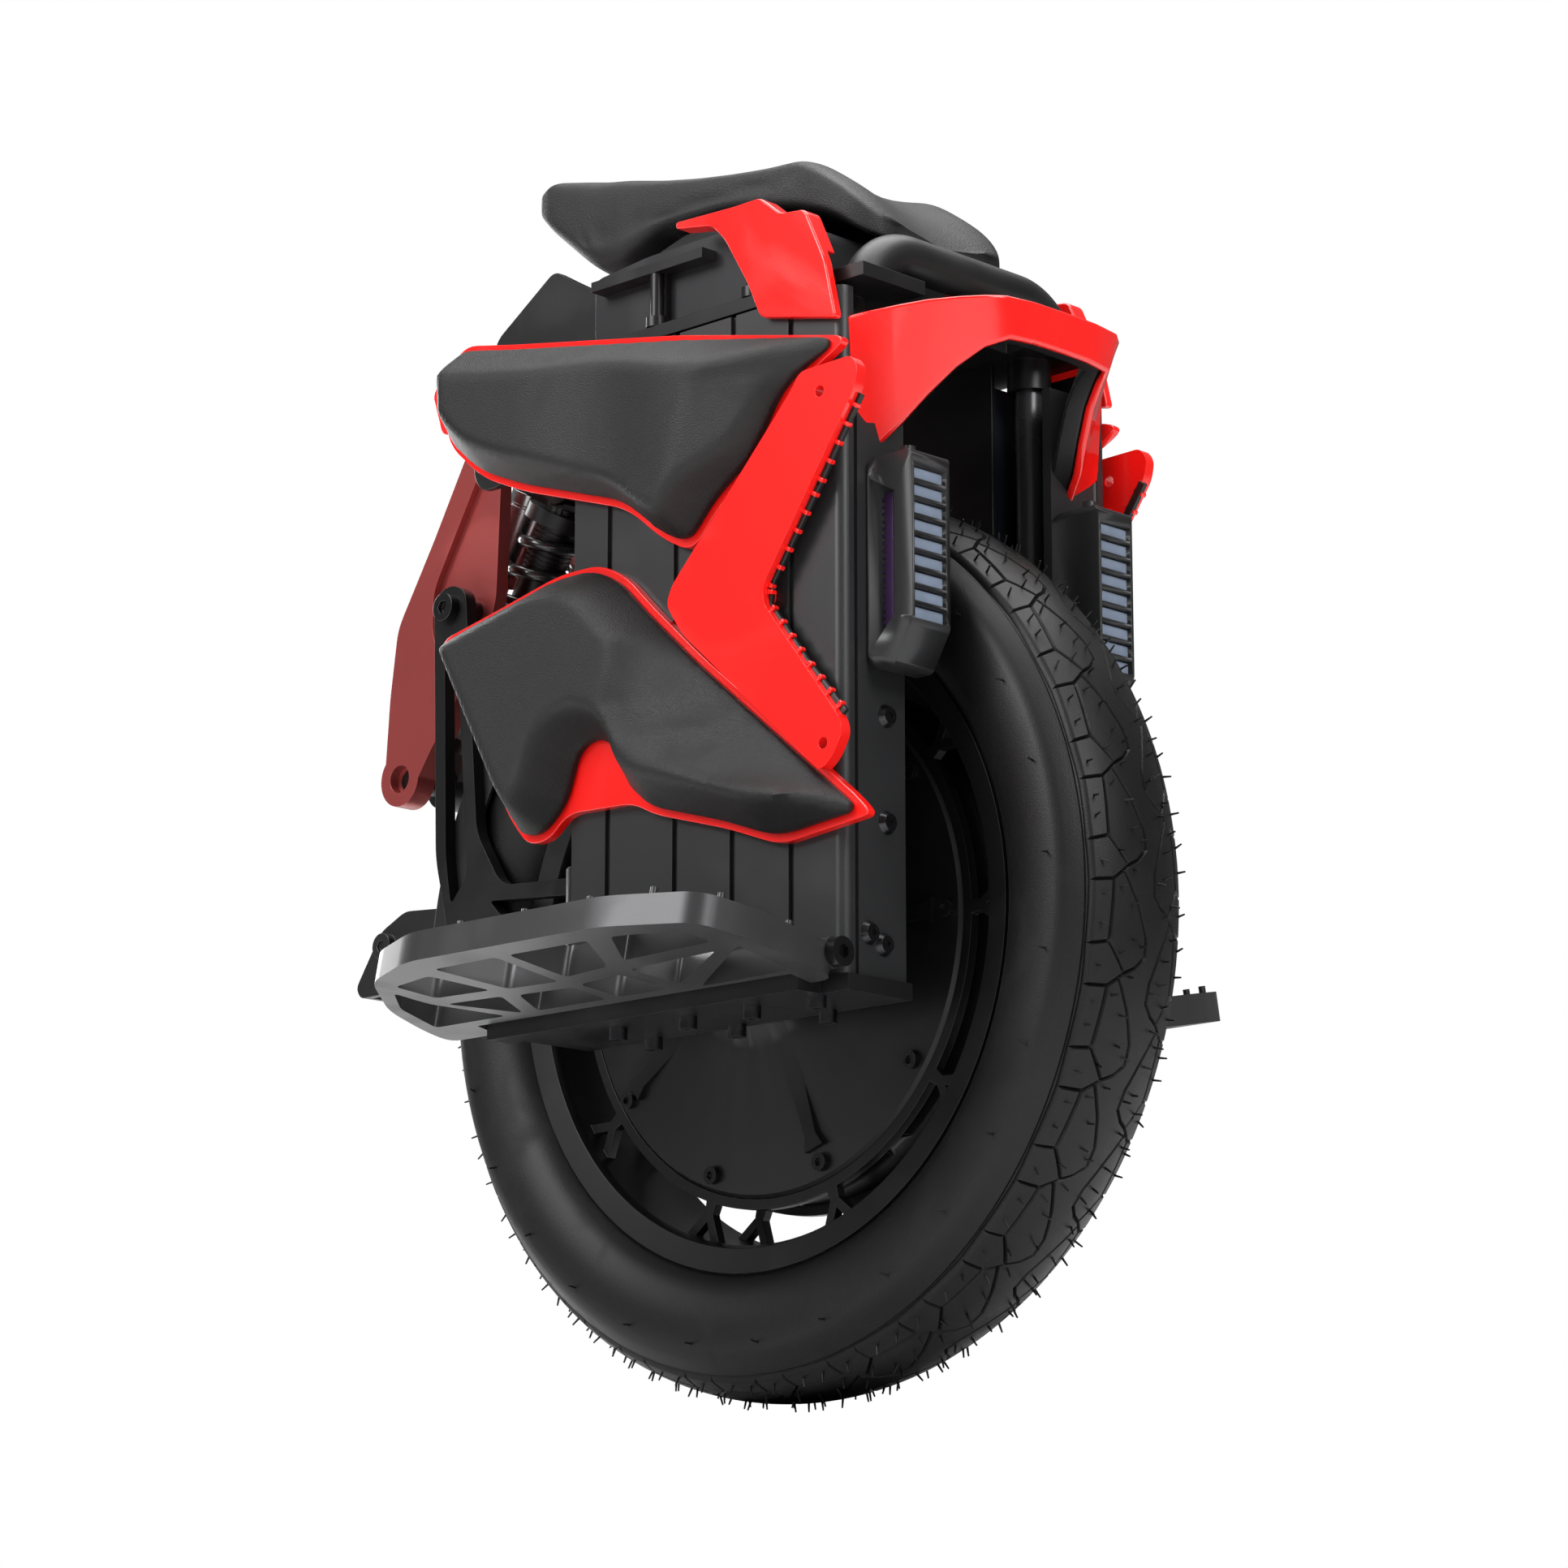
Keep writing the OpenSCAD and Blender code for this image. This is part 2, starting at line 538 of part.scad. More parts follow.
well_y = bracket_y0 - 0.6;
plate_x = box_front - 6.4;
plate_front = box_front - 0.4;
bolt_holes = [[half_w - 34, 294], [half_w - 20, 233], [half_w - 31, 228], [half_w - 34, 352]];
module front_plates() {
    color(dark) for (s = [-1, 1]) difference() {
        block(plate_x, plate_front, well_y - 2, half_w - 12 - snug, panel_z0 + 0.5, h(566), s);
        for (b = bolt_holes) translate([plate_x - 1, s * b[0], h(b[1])]) rotate([0, 90, 0])
            cylinder(h = 10, r = 3 + snug, $fn = 32);
    }
}
module well_walls() {
    color(black) for (s = [-1, 1]) {
        block(-box_rear + 0.1, guide_front - 16, well_y, well_y + 3, h(385), deck_z - eps, s);
        block(-box_rear + 0.1, -box_rear + 3, well_y + 3 - eps, half_w - skin_t - eps, h(209) + 0.5,
            deck_z - eps, s);
        block(-box_rear + 3, guide_front - 16, well_y + 3 - eps, half_w - skin_t - eps, h(385), h(388), s);
    }
}
module batteries() {
    color([0.1, 0.16, 0.3]) for (s = [-1, 1]) {
        block(-box_rear + 6, guide_front - 18, well_y + 3.5, half_w - skin_t - 1, h(390), deck_z - 12, s);
    }
}
sill_z = h(200);
sill_t = h(209) - sill_z - eps;
hinge_y = half_w + 11;
hinge_z = h(218);
knuckle_r = 8.5;
sill_front = box_front + 4;
outer_screws = [-34, 20, 68, 116];
inner_screws = [-45, 20, 88];
module sill(s) {
    difference() {
        union() {
            block(guide_rear - 18, sill_front, well_y - 2, half_w + 1, sill_z, sill_z + sill_t, s);
            block(-118, sill_front - 20, half_w + 0.4, hinge_y + 7, sill_z, hinge_z - 1, s);
            translate([-118, s * hinge_y, hinge_z]) rotate([0, 90, 0])
                cylinder(h = sill_front - 20 + 118, r = knuckle_r);
        }
        translate([-119, s * hinge_y, hinge_z]) rotate([0, 90, 0]) cylinder(h = 300, r = 4.5 + snug);
        for (x = [guide_front, guide_rear])
            translate([x, s * guide_y, h(204) - snug]) cylinder(h = 20, r = tube_r + snug);
        for (x = outer_screws) translate([x, s * (half_w - 3), sill_z - 1])
            cylinder(h = 6, r = 2.5, $fn = 24);
        for (x = inner_screws) translate([x, s * (well_y + 6), sill_z - 1])
            cylinder(h = 6, r = 2.5, $fn = 24);
    }
}
module sills() { color(dark) { sill(-1); sill(1); } }
module cap_screw(x, y) {
    translate([x, y, sill_z - 7]) difference() {
        cylinder(h = 7 - eps, r = 5, $fn = 32);
        translate([0, 0, -1]) cylinder(h = 4, r = 2.6, $fn = 6);
    }
    translate([x, y, sill_z - 1]) cylinder(h = 5.5, r = 2.48, $fn = 24);
}
module frame_screws() {
    color(dark) for (s = [-1, 1]) {
        for (x = outer_screws) cap_screw(x, s * (half_w - 3));
        for (x = inner_screws) cap_screw(x, s * (well_y + 6));
        for (b = bolt_holes) translate([plate_front + eps, s * b[0], h(b[1])]) rotate([0, 90, 0]) {
            difference() {
                cylinder(h = 3.2, r1 = 6.5, r2 = 4.6, $fn = 48);
                translate([0, 0, 1.4]) cylinder(h = 3, r = 2.4, $fn = 6);
            }
            translate([0, 0, -5]) cylinder(h = 5.1, r = 2.98, $fn = 32);
        }
    }
}

// ---------- seat, handle, arches and bumper ----------
seat_lift = deck_z - 590;
seat_half = seat_w / 2;
function up(pts) = [for (p = pts) [p[0], p[1] + seat_lift]];
// the seat in plan: full width behind, narrower towards its nose
seat_plan = [[-142, -seat_half], [-30, -seat_half], [60, -seat_half * 0.84], [112, -seat_half * 0.74],
    [118, -seat_half * 0.5], [118, seat_half * 0.5], [112, seat_half * 0.74], [60, seat_half * 0.84],
    [-30, seat_half], [-142, seat_half]];
module seat() {
    color(foam) intersection() {
        translate([0, seat_half, 0]) rotate([90, 0, 0]) linear_extrude(seat_w) polygon(soft(up([
            [-96, 652], [-66, 651], [-36, 664.5], [18, 664.5], [84, 648], [104, 632], [115, 630], [117, 640],
            [104, 664], [96, 673], [82, 680], [56, 684], [23, 689], [-16, 696], [-70, 709], [-125, 723],
            [-141, 707]]), 9));
        translate([0, 0, deck_z]) linear_extrude(200) polygon(soft(seat_plan, 10));
    }
}
module seat_posts() {
    color(silver) for (s = [-1, 1]) {
        for (x = [-16, 60]) translate([x, s * (shell_half + 6.6), deck_z + deck_t + eps]) {
            cylinder(h = 38, r = 4);
            cylinder(h = 6, r = 6.5);
        }
    }
    color(dark) translate([0, seat_half - 14, 0]) rotate([90, 0, 0]) linear_extrude(seat_w - 28)
        polygon(up([[-50, 646 + eps], [58, 646 + eps], [58, 654.2], [27, 662.2], [9, 664.4], [-27, 664.4],
            [-46, 659.6], [-50, 657.4]]));
    color(dark) for (s = [-1, 1]) {
        block(-66, 24, shell_half + eps, shell_half + 11, deck_z + 40, deck_z + 46, s);
        block(50, 70, shell_half + eps, shell_half + 11, deck_z + 40, deck_z + 46, s);
    }
}
arch_pts = [[82, 578], [139, 565], [131, 600], [116, 632], [98, 634], [82, 647], [60, 647], [16, 649],
    [16, 645], [44, 640], [54, 630], [72, 600]];
module side_arches() {
    color(red) for (s = [-1, 1]) difference() {
        slab(soft(up(arch_pts), 4), shell_half + 12, half_w + 6, s);
        slab(up([[60, 560], [150, 560], [150, 606.2], [60, 606.2]]), shell_half + 10, half_w + 0.1, s);
    }
    // inner ribs that carry the arches on the shell
    color(dark) for (s = [-1, 1])
        block(80, shell_front - 4, shell_half + eps, shell_half + 12 - eps, deck_z + 14, deck_z + 38, s);
}
handle_x = box_front - 12;
handle_half = 83;
corner_r = 38;                   // bend of the bar down to each foot
bar_z = deck_z + deck_t + 21;
module grab_handle() {
    color(black) difference() {
        union() {
            for (s = [-1, 1]) {
                translate([handle_x, s * (handle_half - 4), deck_z + deck_t + eps])
                    cylinder(h = 4, r = bar_r + 4);
                translate([handle_x, s * (handle_half - corner_r), bar_z - corner_r])
                    rotate([90, 0, 90]) rotate([0, 0, s > 0 ? 0 : 90])
                    rotate_extrude(angle = 90) translate([corner_r, 0]) circle(r = bar_r);
            }
            translate([handle_x, handle_half - corner_r + eps, bar_z]) rotate([90, 0, 0])
                cylinder(h = 2 * (handle_half - corner_r) + 2 * eps, r = bar_r);
        }
        translate([handle_x - 40, -half_w, deck_z - 40]) cube([80, 2 * half_w, 40 + deck_t + eps]);
    }
}
nose_x = box_front + 62;
nose_half = 50;
wing_x = box_front - 3;
wing_half = half_w + 2;
wing_angle = atan2(wing_half - nose_half, nose_x - wing_x);
wing_len = norm([nose_x - wing_x, wing_half - nose_half]);
wing_pts = [[4, 560], [4, 540], [10, 516], [20, 495], [28, 491], [47, 514], [63, 532], [78, 548],
    [wing_len, 554], [wing_len, 581], [77, 580], [34, 570], [12, 565]];
// a plate along a wing of the bumper, from depth d0 to depth d1 inward, ended at front_end
module wing(pts, d0, d1, s, front_end) {
    difference() {
        mirror([0, s > 0 ? 0 : 1, 0]) translate([wing_x, wing_half, 0]) rotate([0, 0, -wing_angle])
            translate([0, -d0, 0]) rotate([90, 0, 0]) linear_extrude(d1 - d0) polygon(soft(up(pts), 5));
        block(box_front - 40, box_front + 0.1, 0, half_w + 40, deck_z - 120, deck_z, s);
        block(front_end, nose_x + 1, 0, half_w, deck_z - 120, deck_z, s);
    }
}
module bumper() {
    color(red) {
        for (s = [-1, 1]) wing(wing_pts, 0, 12, s, nose_x);
        translate([nose_x - 12, -nose_half - 2, 554 + seat_lift]) cube([12, 2 * nose_half + 4, 27]);
        for (s = [-1, 1]) translate([nose_x - 9, s * (nose_half - 1), 554 + seat_lift])
            cylinder(h = 27, r = 9);
    }
}
liner_pts = [[14, 556], [16, 530], [24, 505], [38, 508], [58, 536], [74, 551], [84, 556], [84, 574],
    [60, 572], [30, 564]];
// the outer edge of the liner's root, half a millimetre inside the wing's inner face
liner_y = wing_half - (box_front + 12 - wing_x) * tan(wing_angle) - 12 / cos(wing_angle) - 0.5;
module bumper_liner() {
    color(black) for (s = [-1, 1]) {
        wing(liner_pts, 12 + eps, 20, s, nose_x - 18.2);
        block(plate_front + eps, box_front + 12, well_y + 6, liner_y, 530 + seat_lift,
            560 + seat_lift, s);
    }
}
pod_y0 = well_y - 2;
pod_y1 = half_w - 18.6;
pod_front = box_front + 33;
pod_pts = [[plate_front + eps, 380], [plate_front + eps, 488], [box_front + 5, 491], [pod_front, 491],
    [pod_front, 396], [box_front + 20, 374], [box_front + 6, 374]];
cell_n = 9;
cell_pitch = 9.6;
module pod(s) {
    color(grey) difference() {
        union() {
            slab(soft(lift(pod_pts), 3), pod_y0, pod_y1, s);
            translate([box_front + 16, s * (pod_y0 + 14), h(491) - 1]) cylinder(h = 8, r = 4, $fn = 32);
        }
        slab(lift([[box_front + 2, 384], [box_front + 2, 480], [box_front + 20, 470], [box_front + 20, 402]]),
            pod_y1 - 12, pod_y1 + 1, s);
        for (i = [0:cell_n - 1])
            block(pod_front - 9, pod_front + 1, pod_y0 + 3, pod_y1 - 2, h(398) + i * cell_pitch * stretch,
                h(398) + (i * cell_pitch + 7.6) * stretch, s);
    }
}
module pod_right() { pod(-1); }
module pod_left() { pod(1); }
module pod_lenses() {
    color(lens) for (s = [-1, 1], i = [0:cell_n - 1])
        block(pod_front - 9 + eps, pod_front - 2.5, pod_y0 + 3.1, pod_y1 - 2.1,
            h(398) + (i * cell_pitch + 0.6) * stretch, h(398) + (i * cell_pitch + 7) * stretch, s);
}
module pod_strips() {
    color(purple) for (s = [-1, 1]) {
        block(box_front + 7, box_front + 13, pod_y1 - 12 + eps, pod_y1 - 7, h(397), h(472), s);
        for (i = [0:19]) block(box_front + 4, box_front + 7 - eps, pod_y1 - 12 + eps, pod_y1 - 8,
            h(392) + i * 4 * stretch, h(394) + i * 4 * stretch, s);
    }
}

// ---------- knee and shin pads ----------
upper_pts = [[-170, 562], [-140, 536], [-105, 521], [-20, 494], [10, 470], [30, 460], [48, 480], [80, 500],
    [102, 534], [144, 552], [20, 578], [-120, 604], [-158, 612], [-172, 600]];
lower_rear = [[-172, 438], [-112, 330], [-98, 314], [-84, 314]];
lower_front = [[4, 316], [60, 300], [98, 286], [156, 292], [150, 298], [36, 392], [-4, 428], [-24, 448],
    [-44, 458], [-76, 458], [-122, 448]];
// the lower pad has a deep notch in its foot, and the carrier behind it a shallow one
pad_notch = [[-66, 328], [-56, 356], [-42, 362], [-26, 356], [-14, 330]];
carrier_notch = [[-68, 327], [-14, 325]];
lower_pts = concat(lower_rear, pad_notch, lower_front);
lower_carrier_pts = concat(lower_rear, carrier_notch, lower_front);
// the upper carrier ends in a small tip behind its pad
tip_pts = [[-140, 562], [-140, 602], [-180, 600], [-187, 592], [-178, 566]];
carrier_t = 6;
carrier_y = half_w + 0.02;
module soft_pad(pts, s) {
    color(foam) slab(soft(lift(pts), 14), carrier_y + carrier_t + 0.02, carrier_y + carrier_t + pad_t, s);
}
module upper_pad_right() { soft_pad(upper_pts, -1); }
module upper_pad_left() { soft_pad(upper_pts, 1); }
module lower_pad_right() { soft_pad(lower_pts, -1); }
module lower_pad_left() { soft_pad(lower_pts, 1); }
module pad_carriers(s) {
    color(red) {
        slab(soft(grown(lift(upper_pts), 4), 14), carrier_y, carrier_y + carrier_t, s);
        slab(soft(lift(tip_pts), 4), carrier_y, carrier_y + carrier_t, s);
        slab(soft(grown(lift(lower_carrier_pts), 4), 12), carrier_y, carrier_y + carrier_t, s);
    }
}
module pad_carriers_right() { pad_carriers(-1); }
module pad_carriers_left() { pad_carriers(1); }
lock_pts = [[119, 537], [113, 528], [22, 436], [18, 426], [30, 408], [134, 315], [143, 322], [150, 334],
    [148, 342], [92, 414], [92, 424], [160, 520], [162, 531], [157, 538]];
lock_y0 = carrier_y + carrier_t + 0.5;
module lock_plates() {
    color(red) for (s = [-1, 1]) {
        difference() {
            slab(soft(lift(lock_pts), 5), lock_y0, lock_y0 + 7, s);
            stub(134, h(523), 3.2, lock_y0 - 1, lock_y0 + 8, s);
            stub(136, h(330), 3.2, lock_y0 - 1, lock_y0 + 8, s);
        }
        // posts that stand the plate off the panel
        for (p = [[128, 500], [84, 420], [126, 350]]) stub(p[0], h(p[1]), 5, carrier_y, lock_y0 + eps, s);
    }
}

// ---------- pedals ----------
// flat outline in x and reach from the hinge
pedal_out = [[142, -4], [142, 60], [133, pedal_w - 15], [76, pedal_w], [-73, pedal_w],
    [-119, pedal_w - 17], [-150, 50], [-158, 16], [-158, -4]];
pockets = [[[128, 16], [128, 56], [60, 14]], [[119, 66], [116, pedal_w - 22], [72, pedal_w - 14], [50, 62]],
    [[110, 54], [42, 50], [52, 22]], [[34, 58], [54, pedal_w - 14], [-6, pedal_w - 14], [-2, 54]],
    [[30, 46], [-4, 42], [2, 18], [40, 18]], [[-12, 50], [-16, pedal_w - 14], [-66, pedal_w - 15], [-50, 52]],
    [[-12, 40], [-52, 42], [-62, 18], [-8, 18]], [[-62, 54], [-78, pedal_w - 22], [-112, pedal_w - 28],
    [-104, 56]], [[-64, 44], [-106, 46], [-74, 18]],
    [[-116, 50], [-122, pedal_w - 36], [-140, 50], [-146, 18],
    [-88, 18]]];
module pedal_frame() {
    difference() {
        union() {
            translate([0, 0, -pedal_t + 4]) linear_extrude(pedal_t) difference() {
                polygon(soft(pedal_out, 12));
                for (p = pockets) polygon(soft(p, 4));
                translate([-119, -6]) square([sill_front - 20 + 120, 17]);
            }
            for (x = [[-158, -119], [sill_front - 19, 142]]) translate([x[0], 0, 0]) rotate([0, 90, 0])
                cylinder(h = x[1] - x[0], r = knuckle_r);
        }
        translate([-160, 0, 0]) rotate([0, 90, 0]) cylinder(h = 310, r = 4.5 + fit);
    }
    // traction pins
    for (p = [[136, 30], [132, 76], [104, pedal_w - 10], [60, pedal_w - 7], [10, pedal_w - 7],
        [-40, pedal_w - 7], [-86, pedal_w - 14], [-126, 74], [-148, 34], [46, 38], [-58, 48], [-8, 46]])
        translate([p[0], p[1], 3]) cylinder(h = 5, r = 2, $fn = 24);
}
module pedal(s) {
    color(silver) translate([0, s * hinge_y, hinge_z]) rotate([s * pedal_tilt, 0, 0])
        mirror([0, s > 0 ? 0 : 1, 0]) pedal_frame();
}
module pedal_right() { pedal(-1); }
module pedal_left() { pedal(1); }
module pedal_pins() {
    color(silver) for (s = [-1, 1]) {
        translate([-157, s * hinge_y, hinge_z]) rotate([0, 90, 0]) cylinder(h = 299.5, r = 4.5);
        difference() {
            translate([142.4, s * hinge_y, hinge_z]) rotate([0, 90, 0]) cylinder(h = 6, r = 8);
            translate([145, s * hinge_y, hinge_z]) rotate([0, 90, 0]) cylinder(h = 4, r = 4, $fn = 6);
        }
    }
}

tyre();
rim();
motor_case();
motor_covers();
cover_screws();
stator();
wheel_bearings();
valve_stem();
axle();
carriage_arm_right();
carriage_arm_left();
sliders();
rear_link_right();
rear_link_left();
link_bolts();
lower_shock_pin();
mudguard();
tail_foot();
shock_clevis();
shock_rod();
rebound_knob();
shock_body();
shock_reservoir();
shock_spring();
upper_shock_pin();
stanchions();
deck();
controller();
top_shell();
charge_port();
charge_cap();
power_button();
rear_brackets();
side_panel_right();
side_panel_left();
front_plates();
well_walls();
batteries();
sills();
frame_screws();
seat();
seat_posts();
side_arches();
grab_handle();
bumper();
bumper_liner();
pod_right();
pod_left();
pod_lenses();
pod_strips();
upper_pad_right();
upper_pad_left();
lower_pad_right();
lower_pad_left();
pad_carriers_right();
pad_carriers_left();
lock_plates();
pedal_right();
pedal_left();
pedal_pins();
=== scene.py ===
import json
import random
from math import atan2, cos, hypot, pi, radians, sin, sqrt

import bmesh
import bpy
from mathutils import Matrix, Vector
from mathutils.kdtree import KDTree


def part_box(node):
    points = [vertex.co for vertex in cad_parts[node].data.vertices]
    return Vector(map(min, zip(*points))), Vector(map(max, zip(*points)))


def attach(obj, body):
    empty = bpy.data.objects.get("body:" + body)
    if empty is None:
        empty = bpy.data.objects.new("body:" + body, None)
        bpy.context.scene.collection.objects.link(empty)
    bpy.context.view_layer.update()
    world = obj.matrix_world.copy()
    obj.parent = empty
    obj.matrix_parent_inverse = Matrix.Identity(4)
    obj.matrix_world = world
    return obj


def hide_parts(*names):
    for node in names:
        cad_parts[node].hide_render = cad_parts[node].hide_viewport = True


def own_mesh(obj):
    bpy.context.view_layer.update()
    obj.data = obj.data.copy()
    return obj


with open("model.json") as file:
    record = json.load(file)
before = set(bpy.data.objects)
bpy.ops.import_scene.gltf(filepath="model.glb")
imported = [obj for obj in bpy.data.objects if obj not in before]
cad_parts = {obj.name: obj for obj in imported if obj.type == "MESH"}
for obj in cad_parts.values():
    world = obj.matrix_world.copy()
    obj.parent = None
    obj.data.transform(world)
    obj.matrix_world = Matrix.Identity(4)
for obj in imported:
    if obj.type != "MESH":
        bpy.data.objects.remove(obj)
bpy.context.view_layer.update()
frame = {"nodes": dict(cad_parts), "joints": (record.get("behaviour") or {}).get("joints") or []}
scene = bpy.context.scene
scene.view_settings.view_transform = "Standard"

# ---------- camera, floor and light ----------
# A long lens set low beside the front wheel, so the pedals and the tyre's tread are seen from
# beneath. The floor is a pale sheet that shows only from above. Three soft lamps and a pale room.
eye = Vector((1.6946, -1.7619, -0.1876))
target = Vector((0.0074, -0.0199, 0.3438))
camera_data = bpy.data.cameras.new("camera")
camera_data.lens = 101.6
camera_data.sensor_width = 36
camera = bpy.data.objects.new("camera", camera_data)
camera.location = eye
camera.rotation_euler = (target - eye).to_track_quat("-Z", "Y").to_euler()
scene.collection.objects.link(camera)
scene.camera = camera


def lamp(name, place, size, watts):
    data = bpy.data.lights.new(name, "AREA")
    data.size = size
    data.energy = watts
    light = bpy.data.objects.new(name, data)
    light.location = place
    light.rotation_euler = (Vector((0, 0, 0.35)) - Vector(place)).to_track_quat("-Z", "Y").to_euler()
    scene.collection.objects.link(light)


lamp("side_lamp", (-0.7, -2.4, 1.9), 1.6, 70)
lamp("front_lamp", (2.3, -0.5, 1.7), 1.2, 36)
lamp("top_lamp", (0.1, 0.1, 2.5), 2.0, 75)
lamp("rear_lamp", (-2.3, 0.6, 1.2), 1.2, 30)
lamp("low_lamp", (1.6, -1.9, -0.5), 1.2, 7)

room = bpy.data.worlds.new("room")
room.use_nodes = True
scene.world = room
room_nodes = room.node_tree.nodes
room_glow = room_nodes["Background"]
room_glow.inputs["Color"].default_value = (1, 1, 1, 1)
room_glow.inputs["Strength"].default_value = 0.17
room_seen = room_nodes.new("ShaderNodeBackground")
room_seen.inputs["Color"].default_value = (1, 1, 1, 1)
room_path = room_nodes.new("ShaderNodeLightPath")
room_mix = room_nodes.new("ShaderNodeMixShader")
room.node_tree.links.new(room_path.outputs["Is Camera Ray"], room_mix.inputs["Fac"])
room.node_tree.links.new(room_glow.outputs[0], room_mix.inputs[1])
room.node_tree.links.new(room_seen.outputs[0], room_mix.inputs[2])
room.node_tree.links.new(room_mix.outputs[0], room_nodes["World Output"].inputs["Surface"])

floor_mesh = bmesh.new()
bmesh.ops.create_grid(floor_mesh, x_segments=1, y_segments=1, size=6)
floor_data = bpy.data.meshes.new("floor")
floor_mesh.to_mesh(floor_data)
floor = bpy.data.objects.new("floor", floor_data)
scene.collection.objects.link(floor)
floor_paint = bpy.data.materials.new("floor_paint")
floor_paint.use_nodes = True
floor_nodes = floor_paint.node_tree.nodes
floor_nodes["Principled BSDF"].inputs["Base Color"].default_value = (0.8, 0.8, 0.8, 1)
floor_nodes["Principled BSDF"].inputs["Roughness"].default_value = 0.7
floor_side = floor_nodes.new("ShaderNodeNewGeometry")
floor_clear = floor_nodes.new("ShaderNodeBsdfTransparent")
floor_mix = floor_nodes.new("ShaderNodeMixShader")
floor_paint.node_tree.links.new(floor_side.outputs["Backfacing"], floor_mix.inputs["Fac"])
floor_paint.node_tree.links.new(floor_nodes["Principled BSDF"].outputs[0], floor_mix.inputs[1])
floor_paint.node_tree.links.new(floor_clear.outputs[0], floor_mix.inputs[2])
floor_paint.node_tree.links.new(floor_mix.outputs[0], floor_nodes["Material Output"].inputs["Surface"])
floor_data.materials.append(floor_paint)

# ---------- tyre ----------
# A 20 inch road tyre of black rubber, moulded in one piece: a closed carcass under a pattern of
# scale-like blocks that run to a zigzag rib in the middle, with moulding hairs still on it.


def surface_group():
    """One effect for every finish: fine noise, round cells and slow patches over the surface."""
    group = bpy.data.node_groups.new("surface_effects", "ShaderNodeTree")
    sockets = group.interface
    sockets.new_socket("Vector", in_out="INPUT", socket_type="NodeSocketVector")
    for name in ("Grain scale", "Patch scale"):
        sockets.new_socket(name, in_out="INPUT", socket_type="NodeSocketFloat")
    for name in ("Grain", "Cells", "Patches", "Scuffs"):
        sockets.new_socket(name, in_out="OUTPUT", socket_type="NodeSocketFloat")
    nodes, link = group.nodes, group.links.new
    entry = nodes.new("NodeGroupInput")
    leave = nodes.new("NodeGroupOutput")
    grain = nodes.new("ShaderNodeTexNoise")
    cells = nodes.new("ShaderNodeTexVoronoi")
    patches = nodes.new("ShaderNodeTexNoise")
    scuffs = nodes.new("ShaderNodeTexNoise")
    grain.inputs["Detail"].default_value = 3
    patches.inputs["Detail"].default_value = 4
    patches.inputs["Roughness"].default_value = 0.6
    scuffs.inputs["Detail"].default_value = 8
    scuffs.inputs["Distortion"].default_value = 1.4
    for node in (grain, cells, patches, scuffs):
        link(entry.outputs["Vector"], node.inputs["Vector"])
    for node, scale in ((grain, "Grain scale"), (cells, "Grain scale"),
                        (patches, "Patch scale"), (scuffs, "Patch scale")):
        link(entry.outputs[scale], node.inputs["Scale"])
    limit = nodes.new("ShaderNodeMapRange")
    limit.inputs["From Min"].default_value = 0.52
    limit.inputs["From Max"].default_value = 0.72
    link(scuffs.outputs["Fac"], limit.inputs["Value"])
    link(grain.outputs["Fac"], leave.inputs["Grain"])
    link(cells.outputs["Distance"], leave.inputs["Cells"])
    link(patches.outputs["Fac"], leave.inputs["Patches"])
    link(limit.outputs["Result"], leave.inputs["Scuffs"])
    return group


effects = surface_group()


def finish(name, colour, rough, metallic=0.0, coat=0.0, grain=900, depth=0.1, texture="Grain",
           tone=0.15, patch=9, brushed=(1, 1, 1), speckle=0.0, specular=0.5):
    """A procedural finish: patchy tone and roughness, and a fine surface of the given texture."""
    material = bpy.data.materials.new(name)
    material.use_nodes = True
    nodes, link = material.node_tree.nodes, material.node_tree.links.new
    skin = nodes["Principled BSDF"]
    skin.inputs["Metallic"].default_value = metallic
    skin.inputs["Coat Weight"].default_value = coat
    skin.inputs["Coat Roughness"].default_value = 0.06
    skin.inputs["Specular IOR Level"].default_value = specular
    place = nodes.new("ShaderNodeTexCoord")
    turn = nodes.new("ShaderNodeMapping")
    turn.inputs["Scale"].default_value = brushed
    effect = nodes.new("ShaderNodeGroup")
    effect.node_tree = effects
    effect.inputs["Grain scale"].default_value = grain
    effect.inputs["Patch scale"].default_value = patch
    link(place.outputs["Object"], turn.inputs["Vector"])
    link(turn.outputs["Vector"], effect.inputs["Vector"])
    tint = nodes.new("ShaderNodeMix")
    tint.data_type = "RGBA"
    tint.inputs["A"].default_value = (*[c * (1 - tone) for c in colour], 1)
    tint.inputs["B"].default_value = (*[min(1, c * (1 + tone)) for c in colour], 1)
    link(effect.outputs["Patches"], tint.inputs["Factor"])
    fleck = nodes.new("ShaderNodeMix")
    fleck.data_type = "RGBA"
    fleck.blend_type = "ADD"
    fleck.inputs["B"].default_value = (speckle, speckle, speckle, 1)
    link(tint.outputs["Result"], fleck.inputs["A"])
    link(effect.outputs["Grain"], fleck.inputs["Factor"])
    link(fleck.outputs["Result"], skin.inputs["Base Color"])
    dull = nodes.new("ShaderNodeMapRange")
    dull.inputs["To Min"].default_value = max(0.03, rough - 0.06)
    dull.inputs["To Max"].default_value = min(1, rough + 0.1)
    link(effect.outputs["Scuffs"], dull.inputs["Value"])
    link(dull.outputs["Result"], skin.inputs["Roughness"])
    bump = nodes.new("ShaderNodeBump")
    bump.inputs["Strength"].default_value = min(1, depth * 4)
    bump.inputs["Distance"].default_value = depth * 0.001
    link(effect.outputs[texture], bump.inputs["Height"])
    link(bump.outputs["Normal"], skin.inputs["Normal"])
    return material


